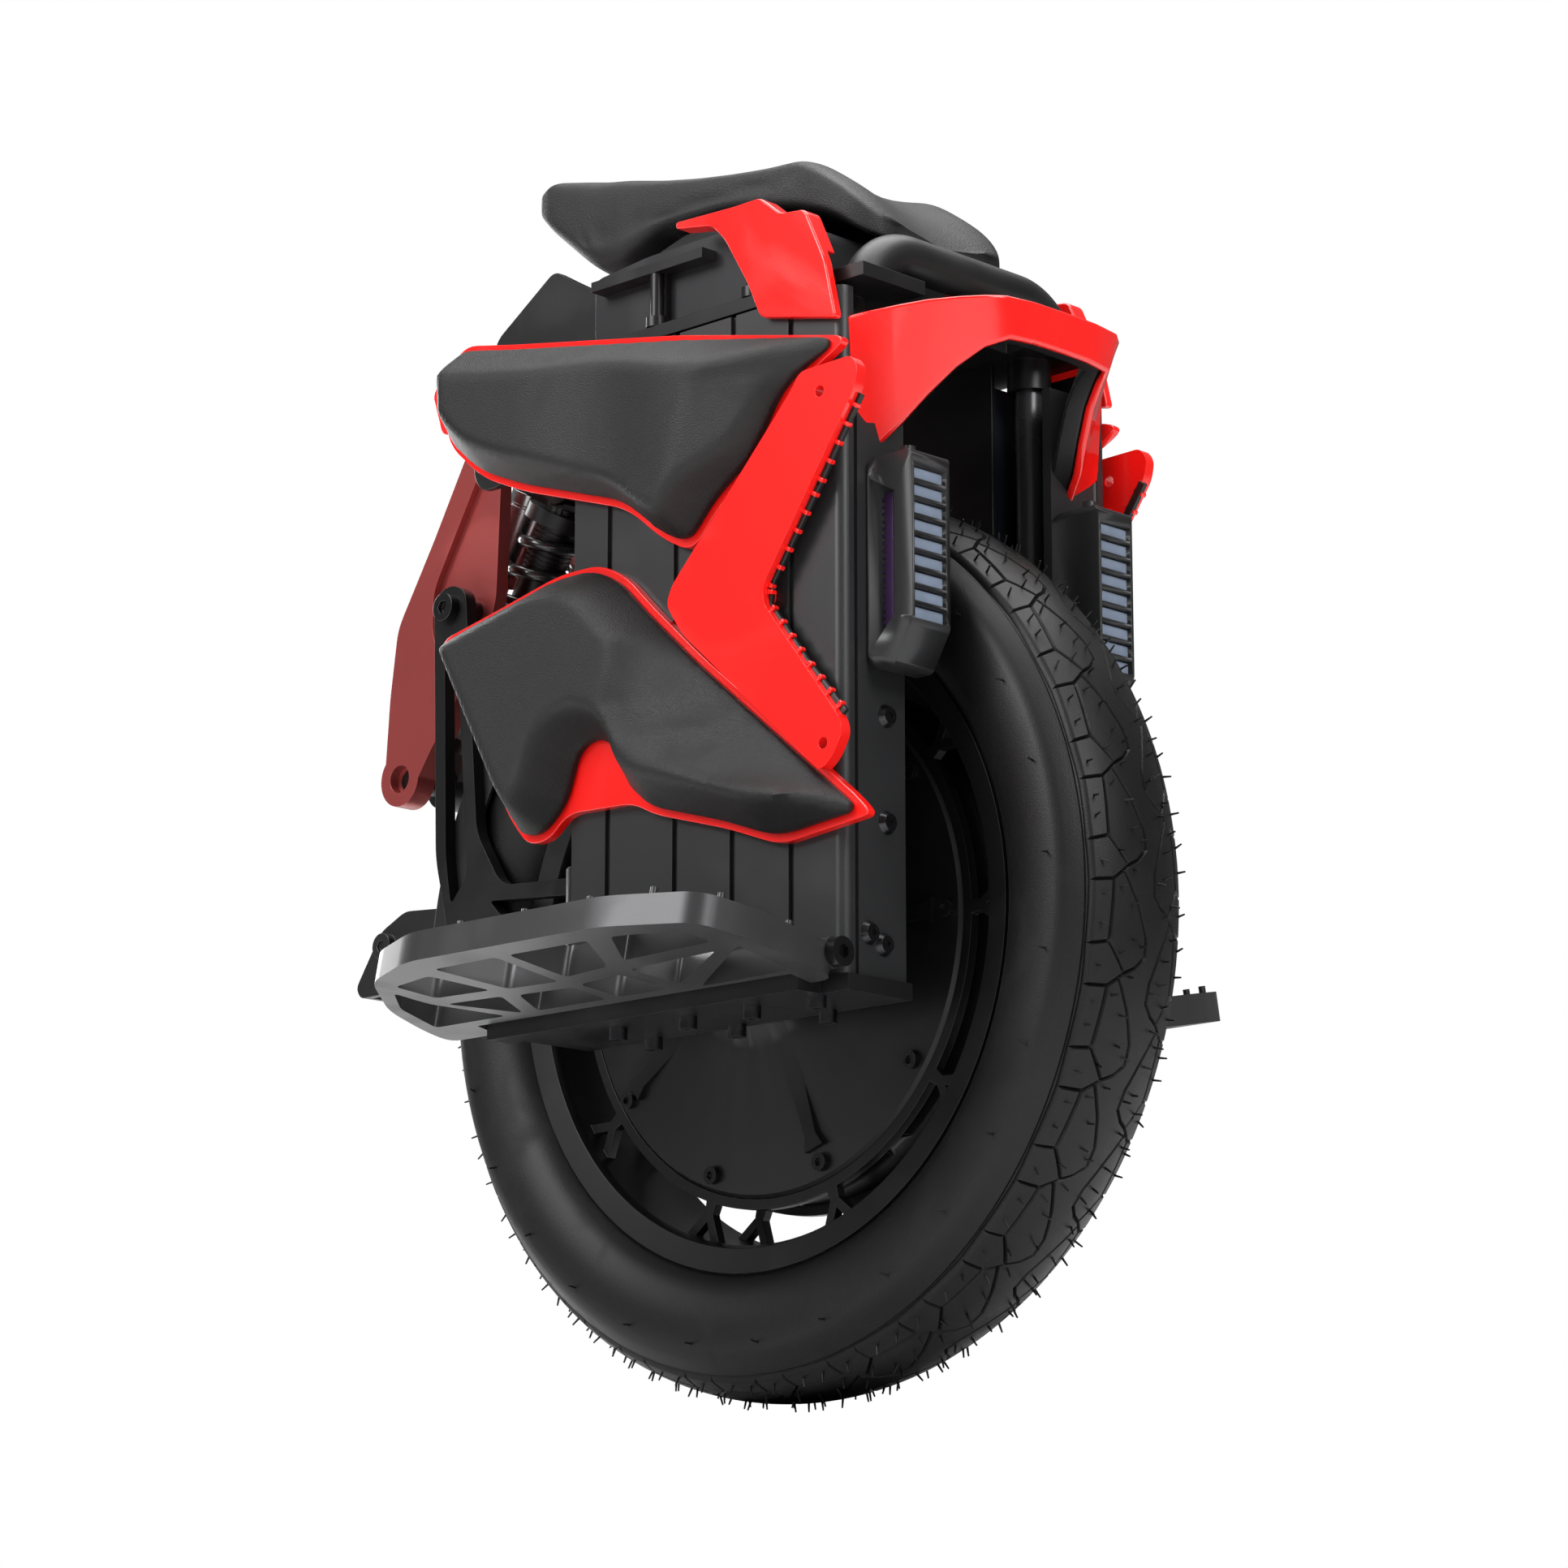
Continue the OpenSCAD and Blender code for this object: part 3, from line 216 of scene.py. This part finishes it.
def piece(name, bm, material, body, smooth=32):
    """Turns a mesh drawn in millimetres into an object in metres that rides on a body."""
    bmesh.ops.scale(bm, vec=(0.001, 0.001, 0.001), verts=bm.verts)
    mesh = bpy.data.meshes.new(name)
    for face in bm.faces:
        face.smooth = True
    bm.to_mesh(mesh)
    bm.free()
    mesh.set_sharp_from_angle(angle=radians(smooth))
    mesh.materials.append(material)
    made = bpy.data.objects.new(name, mesh)
    scene.collection.objects.link(made)
    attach(made, body)
    return made


tyre_low, tyre_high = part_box("tyre")
axle_z = (tyre_low.z + tyre_high.z) / 2 * 1000
tyre_r = (tyre_high.z - tyre_low.z) / 2 * 1000
periods = 28
pitch = 2 * pi * tyre_r / periods
crown_drop = 33
crown_half = 49
block_gap = 1.15
groove = 2.2

# corners of the blocks: how far round in pitches, and how far out from the middle
near = {"a": (0, 35.2), "m": (0.02, 24.4), "h": (0.11, 18.5), "f": (0.155, 15.6), "g": (0.22, 8.7),
        "t": (0.33, 2.8), "k2": (0.52, 3.2), "k1": (0.80, 9.5), "b": (0.39, 35.8), "e": (0.43, 26.2)}
near["c"] = (near["a"][0] + 1, near["a"][1])
near["d"] = (near["m"][0] + 1, near["m"][1])
near["n"] = (near["h"][0] + 1, near["h"][1])
scales = ("abefhm", "bcde", ("e", "d", "n", "k1", "k2", "t", "g", "f"))
far_shift = 0.416


def tread_point(key, turn, side):
    s, y = near[key]
    if side > 0:
        s -= far_shift
    return Vector(((s + turn) * pitch, side * y, 0))


def crown_r(y):
    return tyre_r - crown_drop * (1 - sqrt(1 - (y / crown_half) ** 2))


def around(u, y, sink):
    angle = u / tyre_r
    r = crown_r(min(abs(y), crown_half)) - sink
    return Vector((r * cos(angle), y, axle_z + r * sin(angle)))


bm = bmesh.new()
turn_of = bm.faces.layers.int.new("turn")
rim_of = bm.faces.layers.int.new("rim")


def tread_face(points, turn):
    face = bm.faces.new([bm.verts.new(p) for p in points])
    face[turn_of] = turn
    return face


for turn in range(-1, periods + 1):
    for side in (-1, 1):
        for scale in scales:
            points = [tread_point(key, turn, side) for key in scale]
            tread_face(points if side < 0 else points[::-1], turn)
    rib = [tread_point(key, turn, -1) for key in ("h", "f", "g", "t", "k2", "k1", "n")]
    rib += [tread_point(key, turn, 1) for key in ("k1", "k2", "t", "g", "f", "h")]
    rib.append(tread_point("k1", turn - 1, 1))
    tread_face(rib, turn)
bmesh.ops.remove_doubles(bm, verts=bm.verts, dist=0.05)
bmesh.ops.recalc_face_normals(bm, faces=bm.faces)
if sum(f.normal.z for f in bm.faces) < 0:
    bmesh.ops.reverse_faces(bm, faces=bm.faces)
tiles = [[f] for f in bm.faces if len(f.verts) < 14]
tiles.append([f for f in bm.faces if len(f.verts) == 14])
for tile in tiles:
    ring = bmesh.ops.inset_region(bm, faces=tile, thickness=block_gap, depth=0, use_even_offset=True,
                                  use_boundary=True)
    for face in ring["faces"]:
        face[rim_of] = 1
for v in bm.verts:
    if all(f[rim_of] for f in v.link_faces):
        v.co.z = -groove
ends = [f for f in bm.faces if f[turn_of] in (-1, periods)]
bmesh.ops.delete(bm, geom=ends, context="FACES")
for i in range(-8, 9):
    bmesh.ops.bisect_plane(bm, geom=bm.verts[:] + bm.edges[:] + bm.faces[:], plane_co=(0, i * 4.2, 0),
                           plane_no=(0, 1, 0))
for i in range(-6, 6 * periods + 7):
    bmesh.ops.bisect_plane(bm, geom=bm.verts[:] + bm.edges[:] + bm.faces[:],
                           plane_co=(i * pitch / 6, 0, 0), plane_no=(1, 0, 0))
for v in bm.verts:
    v.co = around(v.co.x, v.co.y, -v.co.z)
bmesh.ops.remove_doubles(bm, verts=bm.verts, dist=0.08)
skirt = bmesh.ops.extrude_edge_only(bm, edges=[e for e in bm.edges if e.is_boundary])
for v in skirt["geom"]:
    if isinstance(v, bmesh.types.BMVert):
        inward = Vector((0, v.co.y * 0.5, axle_z)) - v.co
        v.co += inward.normalized() * 3

# the closed carcass: bead, sidewall and the bed that the blocks stand on
half_w = (tyre_high.y - tyre_low.y) * 500
wall = [(177.5, 32), (186.6, 34.2), (189, 37.5), (194, 42.1), (200, 45), (208, 47.6), (215, 48.7),
        (222, half_w),
        (228, 48.6), (232, 47.6), (236, 44.6)]
bed = [(crown_r(y) - 1.1, y) for y in (40, 38.2)] + [(crown_r(y) - 3.4, y) for y in (36, 30, 22, 12, 4)]
inside = [(tyre_r - 12, 3), (tyre_r - 16, 28), (tyre_r - 30, 39), (216, 41), (190, 28), (177.5, 24)]
half_ring = wall + bed
loop = half_ring + [(r, -y) for r, y in half_ring[::-1]]
loop += [(r, -y) for r, y in inside[::-1]] + inside
corners = [bm.verts.new((r, y, 0)) for r, y in loop]
edges = [bm.edges.new((corners[i], corners[(i + 1) % len(corners)])) for i in range(len(corners))]
before = set(bm.faces)
bmesh.ops.spin(bm, geom=corners + edges, cent=(0, 0, 0), axis=(0, 1, 0), angle=2 * pi, steps=168,
               use_merge=True, use_duplicate=False)
carcass = [f for f in bm.faces if f not in before]
for v in {v for f in carcass for v in f.verts}:
    v.co.z += axle_z
bmesh.ops.recalc_face_normals(bm, faces=carcass)

# moulding hairs: thin rubber whiskers left by the vents of the mould
shake = random.Random(7)
hair_length = 5.8
hair_root_r = 0.75
hair_tip_r = 0.5
hair_spots = [(0.2, 31), (0.62, 31.5), (0.85, 31), (0.3, 20), (0.5, 12), (0.75, 14), (0.95, 21),
              (0.42, 6), (0.12, 12)]


def hair(root, out):
    lean = Vector((shake.uniform(-1, 1), shake.uniform(-1, 1), shake.uniform(-1, 1))) * 0.35
    way = (out + lean).normalized()
    place = Matrix.Translation(root + way * 2.4) @ way.to_track_quat("Z", "Y").to_matrix().to_4x4()
    bmesh.ops.create_cone(bm, cap_ends=True, segments=5, radius1=hair_root_r, radius2=hair_tip_r,
                          depth=hair_length, matrix=place)


for turn in range(periods):
    for side in (-1, 1):
        for s, y in hair_spots:
            u = (s + turn - (far_shift if side > 0 else 0) + shake.uniform(-0.03, 0.03)) * pitch
            root = around(u, side * y, 0.4)
            out = (root - Vector((0, side * y * 0.45, axle_z))).normalized()
            hair(root, out)
        angle = (turn + 0.3) * 2 * pi / periods
        root = Vector((226 * cos(angle), side * 48.6, axle_z + 226 * sin(angle)))
        hair(root, Vector((0, side, 0)))
rubber = finish("tyre_rubber", (0.0046, 0.0046, 0.0048), 0.5, grain=1400, depth=0.12, texture="Cells",
                tone=0.35, patch=14, specular=0.3)
tyre = piece("tyre_with_tread", bm, rubber, "wheel", smooth=38)
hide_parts("tyre")

# ---------- rim, motor and valve ----------
# A cast alloy rim with ten forked spokes bolts to the drum of the hub motor. The covers are
# turned, black coated, and held by a ring of socket screws.


def dress(node, material, edge=0.6, merge=True):
    """Gives a plain part its finish and a small rounded edge; merge first joins its flat faces."""
    part = frame["nodes"][node]
    for slot in part.material_slots:
        slot.material = material
    for face in part.data.polygons:
        face.use_smooth = True
    join = part.modifiers.new("join", "WELD")
    join.merge_threshold = 0.00002
    if merge:
        flats = part.modifiers.new("flats", "DECIMATE")
        flats.decimate_type = "DISSOLVE"
        flats.angle_limit = radians(0.6)
    if edge:
        soften = part.modifiers.new("soften", "BEVEL")
        soften.width = edge * 0.001
        soften.segments = 2
        soften.limit_method = "ANGLE"
        soften.angle_limit = radians(38)
    shade = part.modifiers.new("shade", "WEIGHTED_NORMAL")
    shade.keep_sharp = True


cast_black = finish("cast_black", (0.0042, 0.0042, 0.0045), 0.42, metallic=0.1, grain=1500, depth=0.06,
                    tone=0.25, specular=0.35)
dark_metal = finish("dark_metal", (0.012, 0.012, 0.013), 0.4, metallic=0.3, grain=1100, depth=0.05, tone=0.22)
bolt_steel = finish("bolt_steel", (0.045, 0.045, 0.048), 0.32, metallic=0.9, grain=900, depth=0.03)
ground_steel = finish("ground_steel", (0.5, 0.5, 0.51), 0.26, metallic=1.0, grain=700, depth=0.03,
                      brushed=(1, 1, 0.06))
copper = finish("winding_copper", (0.4, 0.2, 0.08), 0.4, metallic=0.8)
black_plastic = finish("black_plastic", (0.0065, 0.0065, 0.007), 0.45, grain=1300, depth=0.07,
                       texture="Cells", tone=0.25)
dress("rim", cast_black, 0.8)
dress("motor_case", cast_black, 0)
dress("motor_covers", cast_black, 0.6)
dress("cover_screws", bolt_steel, 0.4)
dress("stator", copper, 0)
dress("wheel_bearings", ground_steel, 0.3)
dress("valve_stem", black_plastic, 0.3)

# ---------- carriage ----------
# Everything that goes up and down with the axle: plate arms of black alloy, slider housings,
# two forged links in matt red, and the moulded mudguard with its rubber foot.
purple = finish("purple_anodised", (0.075, 0.036, 0.11), 0.34, metallic=0.75, grain=1200, depth=0.04,
                tone=0.2)
red_matt = finish("red_matt", (0.34, 0.062, 0.058), 0.34, metallic=0.5, grain=1500, depth=0.08, tone=0.2)
dress("axle", ground_steel, 0.5)
dress("carriage_arm_right", cast_black, 0.8)
dress("carriage_arm_left", cast_black, 0.8)
dress("sliders", dark_metal, 0.8)
dress("rear_link_right", red_matt, 1.2)
dress("rear_link_left", red_matt, 1.2)
dress("link_bolts", bolt_steel, 0.4)
dress("lower_shock_pin", bolt_steel, 0.5)
dress("mudguard", black_plastic, 0.5)
dress("tail_foot", black_plastic, 1.2)

# ---------- shock absorber ----------
# A coil-over shock leans between the links and the rear brackets: forged ends, a chromed rod,
# a black steel coil and a silver gas bottle beside the body.
shock_top = Vector(next(j["pos_m"] for j in frame["joints"] if j["name"] == "shock_upper_pivot")) * 1000
shock_foot = Vector(next(j["pos_m"] for j in frame["joints"] if j["name"] == "shock_lower_pivot")) * 1000
shock_line = (shock_top - shock_foot).normalized()
shock_length = (shock_top - shock_foot).length
coil_r = 18
wire_r = 3.6
coil_foot = 38.1
coil_top = shock_length - 30.1
coil_turns = 7
steps_a_turn = 28

bm = bmesh.new()
bmesh.ops.create_circle(bm, cap_ends=True, segments=12, radius=wire_r,
                        matrix=Matrix.Translation((coil_r, 0, 0)) @ Matrix.Rotation(pi / 2, 4, "X"))
bmesh.ops.spin(bm, geom=bm.faces[:], cent=(0, 0, 0), axis=(0, 0, 1), angle=2 * pi * coil_turns,
               dvec=(0, 0, (coil_top - coil_foot) / coil_turns / steps_a_turn),
               steps=coil_turns * steps_a_turn, use_duplicate=False)
bmesh.ops.recalc_face_normals(bm, faces=bm.faces)
along_shock = shock_line.to_track_quat("Z", "Y").to_matrix().to_4x4()
bmesh.ops.transform(bm, matrix=Matrix.Translation(shock_foot + shock_line * coil_foot) @ along_shock,
                    verts=bm.verts)
spring_black = finish("spring_black", (0.014, 0.014, 0.015), 0.24, metallic=0.3, coat=0.5, depth=0.04)
spring = piece("coil_spring", bm, spring_black, "shock_upper", smooth=60)
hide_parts("shock_spring")
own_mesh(spring)

red_gloss = finish("red_gloss", (0.9, 0.0095, 0.007), 0.24, coat=0.5, grain=500, depth=0.02, tone=0.05)
silver = finish("silver_satin", (0.42, 0.42, 0.43), 0.3, metallic=0.95, grain=1000, depth=0.04)
dress("shock_clevis", dark_metal, 0.8)
dress("shock_rod", ground_steel, 0)
dress("rebound_knob", red_gloss, 0.6)
dress("shock_body", cast_black, 0.5)
dress("shock_reservoir", silver, 0.8)
dress("upper_shock_pin", bolt_steel, 0.5)

# ---------- body frame ----------
# Four ground tubes, a deck plate and folded side panels make the box that holds the batteries.
# The panels are thick grey anodised sheet with a fine sparkle.
panel_grey = finish("panel_grey", (0.024, 0.0245, 0.026), 0.42, metallic=0.3, grain=1700, depth=0.1,
                    texture="Grain", tone=0.12, speckle=0.012)
shell_grey = finish("shell_grey", (0.022, 0.022, 0.024), 0.4, metallic=0.3, grain=1500, depth=0.08, tone=0.15)
battery_wrap = finish("battery_wrap", (0.006, 0.007, 0.012), 0.45, coat=0.2)
stanchion_grey = finish("stanchion_grey", (0.07, 0.07, 0.073), 0.3, metallic=0.6, grain=900, depth=0.03)
dress("stanchions", stanchion_grey, 0.5)
dress("deck", dark_metal, 0.8)
dress("controller", cast_black, 0)
dress("top_shell", shell_grey, 1.5)
dress("charge_port", bolt_steel, 0.3)
dress("charge_cap", black_plastic, 0.5)
dress("power_button", red_gloss, 0.6)
dress("rear_brackets", dark_metal, 0.8)
dress("side_panel_right", panel_grey, 0.7)
dress("side_panel_left", panel_grey, 0.7)
dress("front_plates", panel_grey, 0.5)
dress("well_walls", black_plastic, 0.4)
dress("batteries", battery_wrap, 1)
dress("sills", dark_metal, 0.6)
dress("frame_screws", bolt_steel, 0.4)

# ---------- seat ----------
# A moulded foam saddle with a grained skin: high at the back, a shallow channel down its middle,
# and a moulding seam round its sides. It sits on a pan carried by four short posts.
seat_low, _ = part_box("seat")
seat_lift = seat_low.z * 1000 - 630
# station along the seat, half width, top and bottom
seat_lines = ((-141, 76, 714, 700), (-129, 80, 722, 686), (-100, 80, 716, 660), (-88, 80, 713, 652),
              (-68, 80, 709, 651.5), (-36, 79, 700, 665), (-10, 78, 694.5, 665), (16, 76, 690.5, 665),
              (40, 72, 689, 661), (63, 67, 690, 655), (79, 64, 679, 650), (91, 62, 670, 644),
              (100, 60, 661, 637), (108, 54, 652, 632.5), (116, 44, 641, 631))


def between(lines, x):
    """The values of a table of stations at x, on straight runs between them."""
    for a, b in zip(lines, lines[1:]):
        if x <= b[0]:
            t = (x - a[0]) / (b[0] - a[0])
            return [p + (q - p) * max(0, t) for p, q in zip(a[1:], b[1:])]
    return list(lines[-1][1:])


bm = bmesh.new()
seat_ring_n = 88
seat_step = 4
rings = []
x = seat_lines[0][0]
while x <= seat_lines[-1][0]:
    half, top, foot = between(seat_lines, x)
    ring = bmesh.ops.create_circle(bm, segments=seat_ring_n, radius=1)["verts"]
    for v in ring:
        c, s = v.co.x, v.co.y
        y = half * (abs(c) ** 0.3) * (1 if c > 0 else -1)
        up = (abs(s) ** 0.36) * (1 if s > 0 else -1)
        v.co = Vector((x, y, (top + foot) / 2 + up * (top - foot) / 2))
    rings.append([e for e in bm.edges if e.verts[0] in ring and e.verts[1] in ring])
    x += seat_step
for a, b in zip(rings, rings[1:]):
    bmesh.ops.bridge_loops(bm, edges=a + b)
for end in (rings[0], rings[-1]):
    bmesh.ops.contextual_create(bm, geom=end)
bmesh.ops.recalc_face_normals(bm, faces=bm.faces)
for turn in range(3):
    bmesh.ops.smooth_vert(bm, verts=bm.verts, factor=0.5, use_axis_x=True, use_axis_y=True, use_axis_z=True)
channel_half = 50
channel_depth = 8.5
seam_z = 675
seam_depth = 1.8
for v in bm.verts:
    half, top, foot = between(seat_lines, v.co.x)
    if v.co.z > top - 7 and abs(v.co.y) < channel_half:
        v.co.z -= channel_depth * (0.5 + 0.5 * cos(pi * v.co.y / channel_half))
    gap = abs(v.co.z - seam_z - 0.02 * v.co.x)
    if abs(v.co.y) > half * 0.8 and -100 < v.co.x < 60 and gap < 3:
        v.co.y -= (seam_depth * (1 - gap / 3)) * (1 if v.co.y > 0 else -1)
    v.co.z += seat_lift
foam = finish("grained_foam", (0.0066, 0.0066, 0.007), 0.55, grain=1500, depth=0.22, texture="Cells",
              tone=0.3, patch=12, specular=0.4)
seat = piece("seat_cushion", bm, foam, "chassis", smooth=60)
seat_smooth = seat.modifiers.new("smooth", "SUBSURF")
seat_smooth.levels = 1
seat_smooth.render_levels = 1
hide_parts("seat")
dress("seat_posts", dark_metal, 0.8)

# ---------- arches, handle and bumper ----------
# Cast red arches carry the seat's nose down to the deck. The grab handle is a bent tube in a
# rubber sleeve, and the bumper is one red casting with a black liner inside.
dress("side_arches", red_gloss, 4)
frame["nodes"]["side_arches"].modifiers["soften"].segments = 4
dress("grab_handle", black_plastic, 0.8)

# along one half of the bumper: its top edge, its lower edge, and which way its face looks in plan
bumper_lines = (
    ((138, 106, 568), (138, 103, 519), 46),
    ((146, 98, 571), (137, 80, 501), 46),
    ((158, 88, 574), (149, 74, 513), 46),
    ((170, 77, 577), (160, 66, 528), 46),
    ((184, 65, 578.5), (173, 57, 543), 44),
    ((194, 56, 579), (187, 49, 553), 36),
    ((200.5, 46, 579.5), (198.5, 41, 556.5), 18),
    ((203, 26, 580), (200.5, 22, 557.5), 4),
    ((203.4, 0, 580), (201, 0, 557.5), 0))


def bumper_shell(depth0, depth1, inset):
    """A shell that follows the bumper, between two depths behind its face, inset from its edges."""
    bm = bmesh.new()
    lines = [(top, low, face, -1) for top, low, face in bumper_lines]
    lines += [(top, low, face, 1) for top, low, face in bumper_lines[-2::-1]]
    rings = []
    for top, low, face, side in lines:
        top, low = (Vector((p[0], p[1] * side, p[2] + seat_lift)) for p in (top, low))
        inward = Vector((-cos(radians(face)), -sin(radians(face)) * side, 0))
        reach = (low - top).normalized() * inset
        corners = [top + reach + inward * depth0, low - reach + inward * depth0,
                   low - reach + inward * depth1, top + reach + inward * depth1]
        ring = [bm.verts.new(p) for p in corners]
        rings.append([bm.edges.new((ring[i - 1], ring[i])) for i in range(4)])
    for a, b in zip(rings, rings[1:]):
        bmesh.ops.bridge_loops(bm, edges=a + b)
    for end in (rings[0], rings[-1]):
        bmesh.ops.contextual_create(bm, geom=end)
    bmesh.ops.recalc_face_normals(bm, faces=bm.faces)
    return bm


def rounded(made, width, segments):
    """A live rounded edge for a piece whose own corners are sharp."""
    soften = made.modifiers.new("soften", "BEVEL")
    soften.width = width * 0.001
    soften.segments = segments
    soften.limit_method = "ANGLE"
    soften.angle_limit = radians(40)
    shade = made.modifiers.new("shade", "WEIGHTED_NORMAL")
    shade.keep_sharp = False


bumper_skin = 5
lining_back = 17
lining_inset = 2.5
bumper = piece("bumper_casting", bumper_shell(0, bumper_skin, 0), red_gloss, "chassis",
               smooth=44)
rounded(bumper, 2.2, 4)
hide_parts("bumper")
liner = piece("bumper_lining", bumper_shell(bumper_skin + 0.1, lining_back, lining_inset),
              black_plastic, "chassis", smooth=44)
rounded(liner, 2, 3)
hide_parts("bumper_liner")

# ---------- lamp pods ----------
# Two finned housings on the front plates hold a ladder of small lamp cells under a clear face
# and a purple trim strip.
lens = finish("lens_blue_grey", (0.22, 0.27, 0.36), 0.14, coat=0.8, grain=300, depth=0.05, texture="Cells",
              tone=0.3, patch=60)
dress("pod_right", panel_grey, 0, merge=False)
dress("pod_left", panel_grey, 0, merge=False)
dress("pod_lenses", lens, 0.6)
dress("pod_strips", purple, 0.3)

# ---------- knee and shin pads ----------
# Moulded foam with a grained skin, held in red carriers. Each is a set of flat facets that meet
# in crests, with a bevelled rim that falls to the carrier.


def ridge_x(points, z):
    """Where a crest stands, forward of the axle, at height z."""
    for (x0, z0), (x1, z1) in zip(points, points[1:]):
        if min(z0, z1) <= z <= max(z0, z1):
            return x0 + (x1 - x0) * (z - z0) / (z1 - z0)
    ends = sorted(points, key=lambda p: p[1])
    return ends[0][0] if z < ends[0][1] else ends[-1][0]


def soft_min(values, blend=1.4):
    """The lowest of a few heights, with the corner between two of them rounded."""
    low = values[0]
    for value in values[1:]:
        gap = max(blend - abs(low - value), 0) / blend
        low = min(low, value) - gap * gap * blend / 4
    return low


upper_crest = ((31, 468), (41, 498), (54, 542), (62, 548))
lower_crest = ((-45, 446), (-22, 436), (-5, 413), (-8, 395), (-16, 373), (-10, 358), (18, 338),
               (61, 319), (143, 296))
pad_full = 29
pad_grid = 0.0032     # metres between the points of a remeshed pad


def upper_height(x, z, rim, near_z):
    dip = 5 * sin(pi * (x + 85) / 130) ** 2 if -85 < x < 45 else 0
    flat = pad_full - dip
    front = pad_full - 0.36 * (x - ridge_x(upper_crest, z))
    slope = 2 - 0.75 * min(1, max(0, (near_z - 520) / 50))
    return soft_min([flat, front, 4 + slope * rim])


def lower_height(x, z, rim, near_z):
    ahead = (x - ridge_x(lower_crest, z)) * 0.7
    front = pad_full - 24 * ahead / (ahead + rim + 0.1) if ahead > 0 else pad_full
    return soft_min([pad_full - 0.4, front, 4 + 1.5 * rim])


def moulded_pad(node, height):
    """Remeshes a pad's plain solid evenly, then lowers its outer face to the moulded shape."""
    plain = frame["nodes"][node]
    low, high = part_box(node)
    side = 1 if high.y > 0 else -1
    back = (low.y if side > 0 else -high.y) * 1000
    full = (high.y - low.y) * 1000
    bm = bmesh.new()
    bm.from_mesh(plain.data)
    bmesh.ops.remove_doubles(bm, verts=bm.verts, dist=0.00001)
    outline = [(e.verts[0].co.copy(), e.verts[1].co.copy()) for e in bm.edges
               if all(abs(abs(v.co.y) * 1000 - back) < 0.05 for v in e.verts) and e.calc_face_angle(0) > 1]
    spots = []
    for a, b in outline:
        count = max(1, int((b - a).length / 0.0015))
        spots += [a.lerp(b, i / count) for i in range(count)]
    edge = KDTree(len(spots))
    for i, spot in enumerate(spots):
        edge.insert((spot.x * 1000, 0, spot.z * 1000), i)
    edge.balance()
    mesh = bpy.data.meshes.new(node + "_copy")
    bm.to_mesh(mesh)
    bm.free()
    copy = bpy.data.objects.new(node + "_copy", mesh)
    scene.collection.objects.link(copy)
    even = copy.modifiers.new("even", "REMESH")
    even.mode = "VOXEL"
    even.voxel_size = pad_grid
    bpy.context.view_layer.update()
    made = copy.evaluated_get(bpy.context.evaluated_depsgraph_get()).to_mesh()
    bm = bmesh.new()
    bm.from_mesh(made)
    bpy.data.objects.remove(copy)
    bmesh.ops.scale(bm, vec=(1000, 1000, 1000), verts=bm.verts)
    for v in bm.verts:
        near, _, rim = edge.find((v.co.x, 0, v.co.z))
        t = (abs(v.co.y) - back) / full
        v.co.y = side * (back + t * min(full - 0.2, max(3, height(v.co.x, v.co.z, rim, near.z))))
    bmesh.ops.smooth_vert(bm, verts=bm.verts, factor=0.5, use_axis_x=True, use_axis_y=True, use_axis_z=True)
    for v in bm.verts:
        v.co.y = side * max(abs(v.co.y), back + 0.02)
    pad = piece(node + "_foam", bm, foam, "chassis", smooth=70)
    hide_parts(node)


for hand in ("right", "left"):
    moulded_pad("upper_pad_" + hand, upper_height)
    moulded_pad("lower_pad_" + hand, lower_height)
    dress("pad_carriers_" + hand, red_gloss, 1.2)
dress("lock_plates", red_gloss, 1.2)

# a black comb strip with red teeth runs down the front edge of each lock plate
comb_line = ((158, 517), (128, 474), (93, 426), (91, 414), (118, 378), (146, 346))
tooth_gap = 11
_, plate_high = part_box("lock_plates")
tooth_y = plate_high.y * 1000 - 5
for hand, side in (("right", -1), ("left", 1)):
    strip, teeth = bmesh.new(), bmesh.new()
    for (x0, z0), (x1, z1) in zip(comb_line, comb_line[1:]):
        length = hypot(x1 - x0, z1 - z0)
        turn = Matrix.Rotation(-atan2(z1 - z0, x1 - x0), 4, "Y")
        middle = Matrix.Translation(((x0 + x1) / 2, side * (tooth_y - 1), (z0 + z1) / 2))
        size = Matrix.Diagonal((length + 2, 3, 5, 1))
        bmesh.ops.create_cube(strip, size=1, matrix=middle @ turn @ size)
        for i in range(int(length / tooth_gap) + 1):
            t = (i + 0.5) * tooth_gap / length
            spot = Matrix.Translation((x0 + (x1 - x0) * t, side * tooth_y, z0 + (z1 - z0) * t))
            bmesh.ops.create_cube(teeth, size=1, matrix=spot @ turn @ Matrix.Diagonal((2.4, 4, 7.5, 1)))
    rounded(piece("comb_strip_" + hand, strip, black_plastic, "chassis"), 0.6, 2)
    rounded(piece("comb_teeth_" + hand, teeth, red_gloss, "chassis"), 0.5, 2)

# ---------- pedals ----------
# Cast alloy frames of thin ribs round open pockets, with steel traction pins. Each folds up on a
# long pin along the sill.
pedal_grey = finish("pedal_grey", (0.05, 0.05, 0.052), 0.38, metallic=0.45, grain=1300, depth=0.1, tone=0.2)
dress("pedal_right", pedal_grey, 0.9)
dress("pedal_left", pedal_grey, 0.9)
dress("pedal_pins", bolt_steel, 0.4)
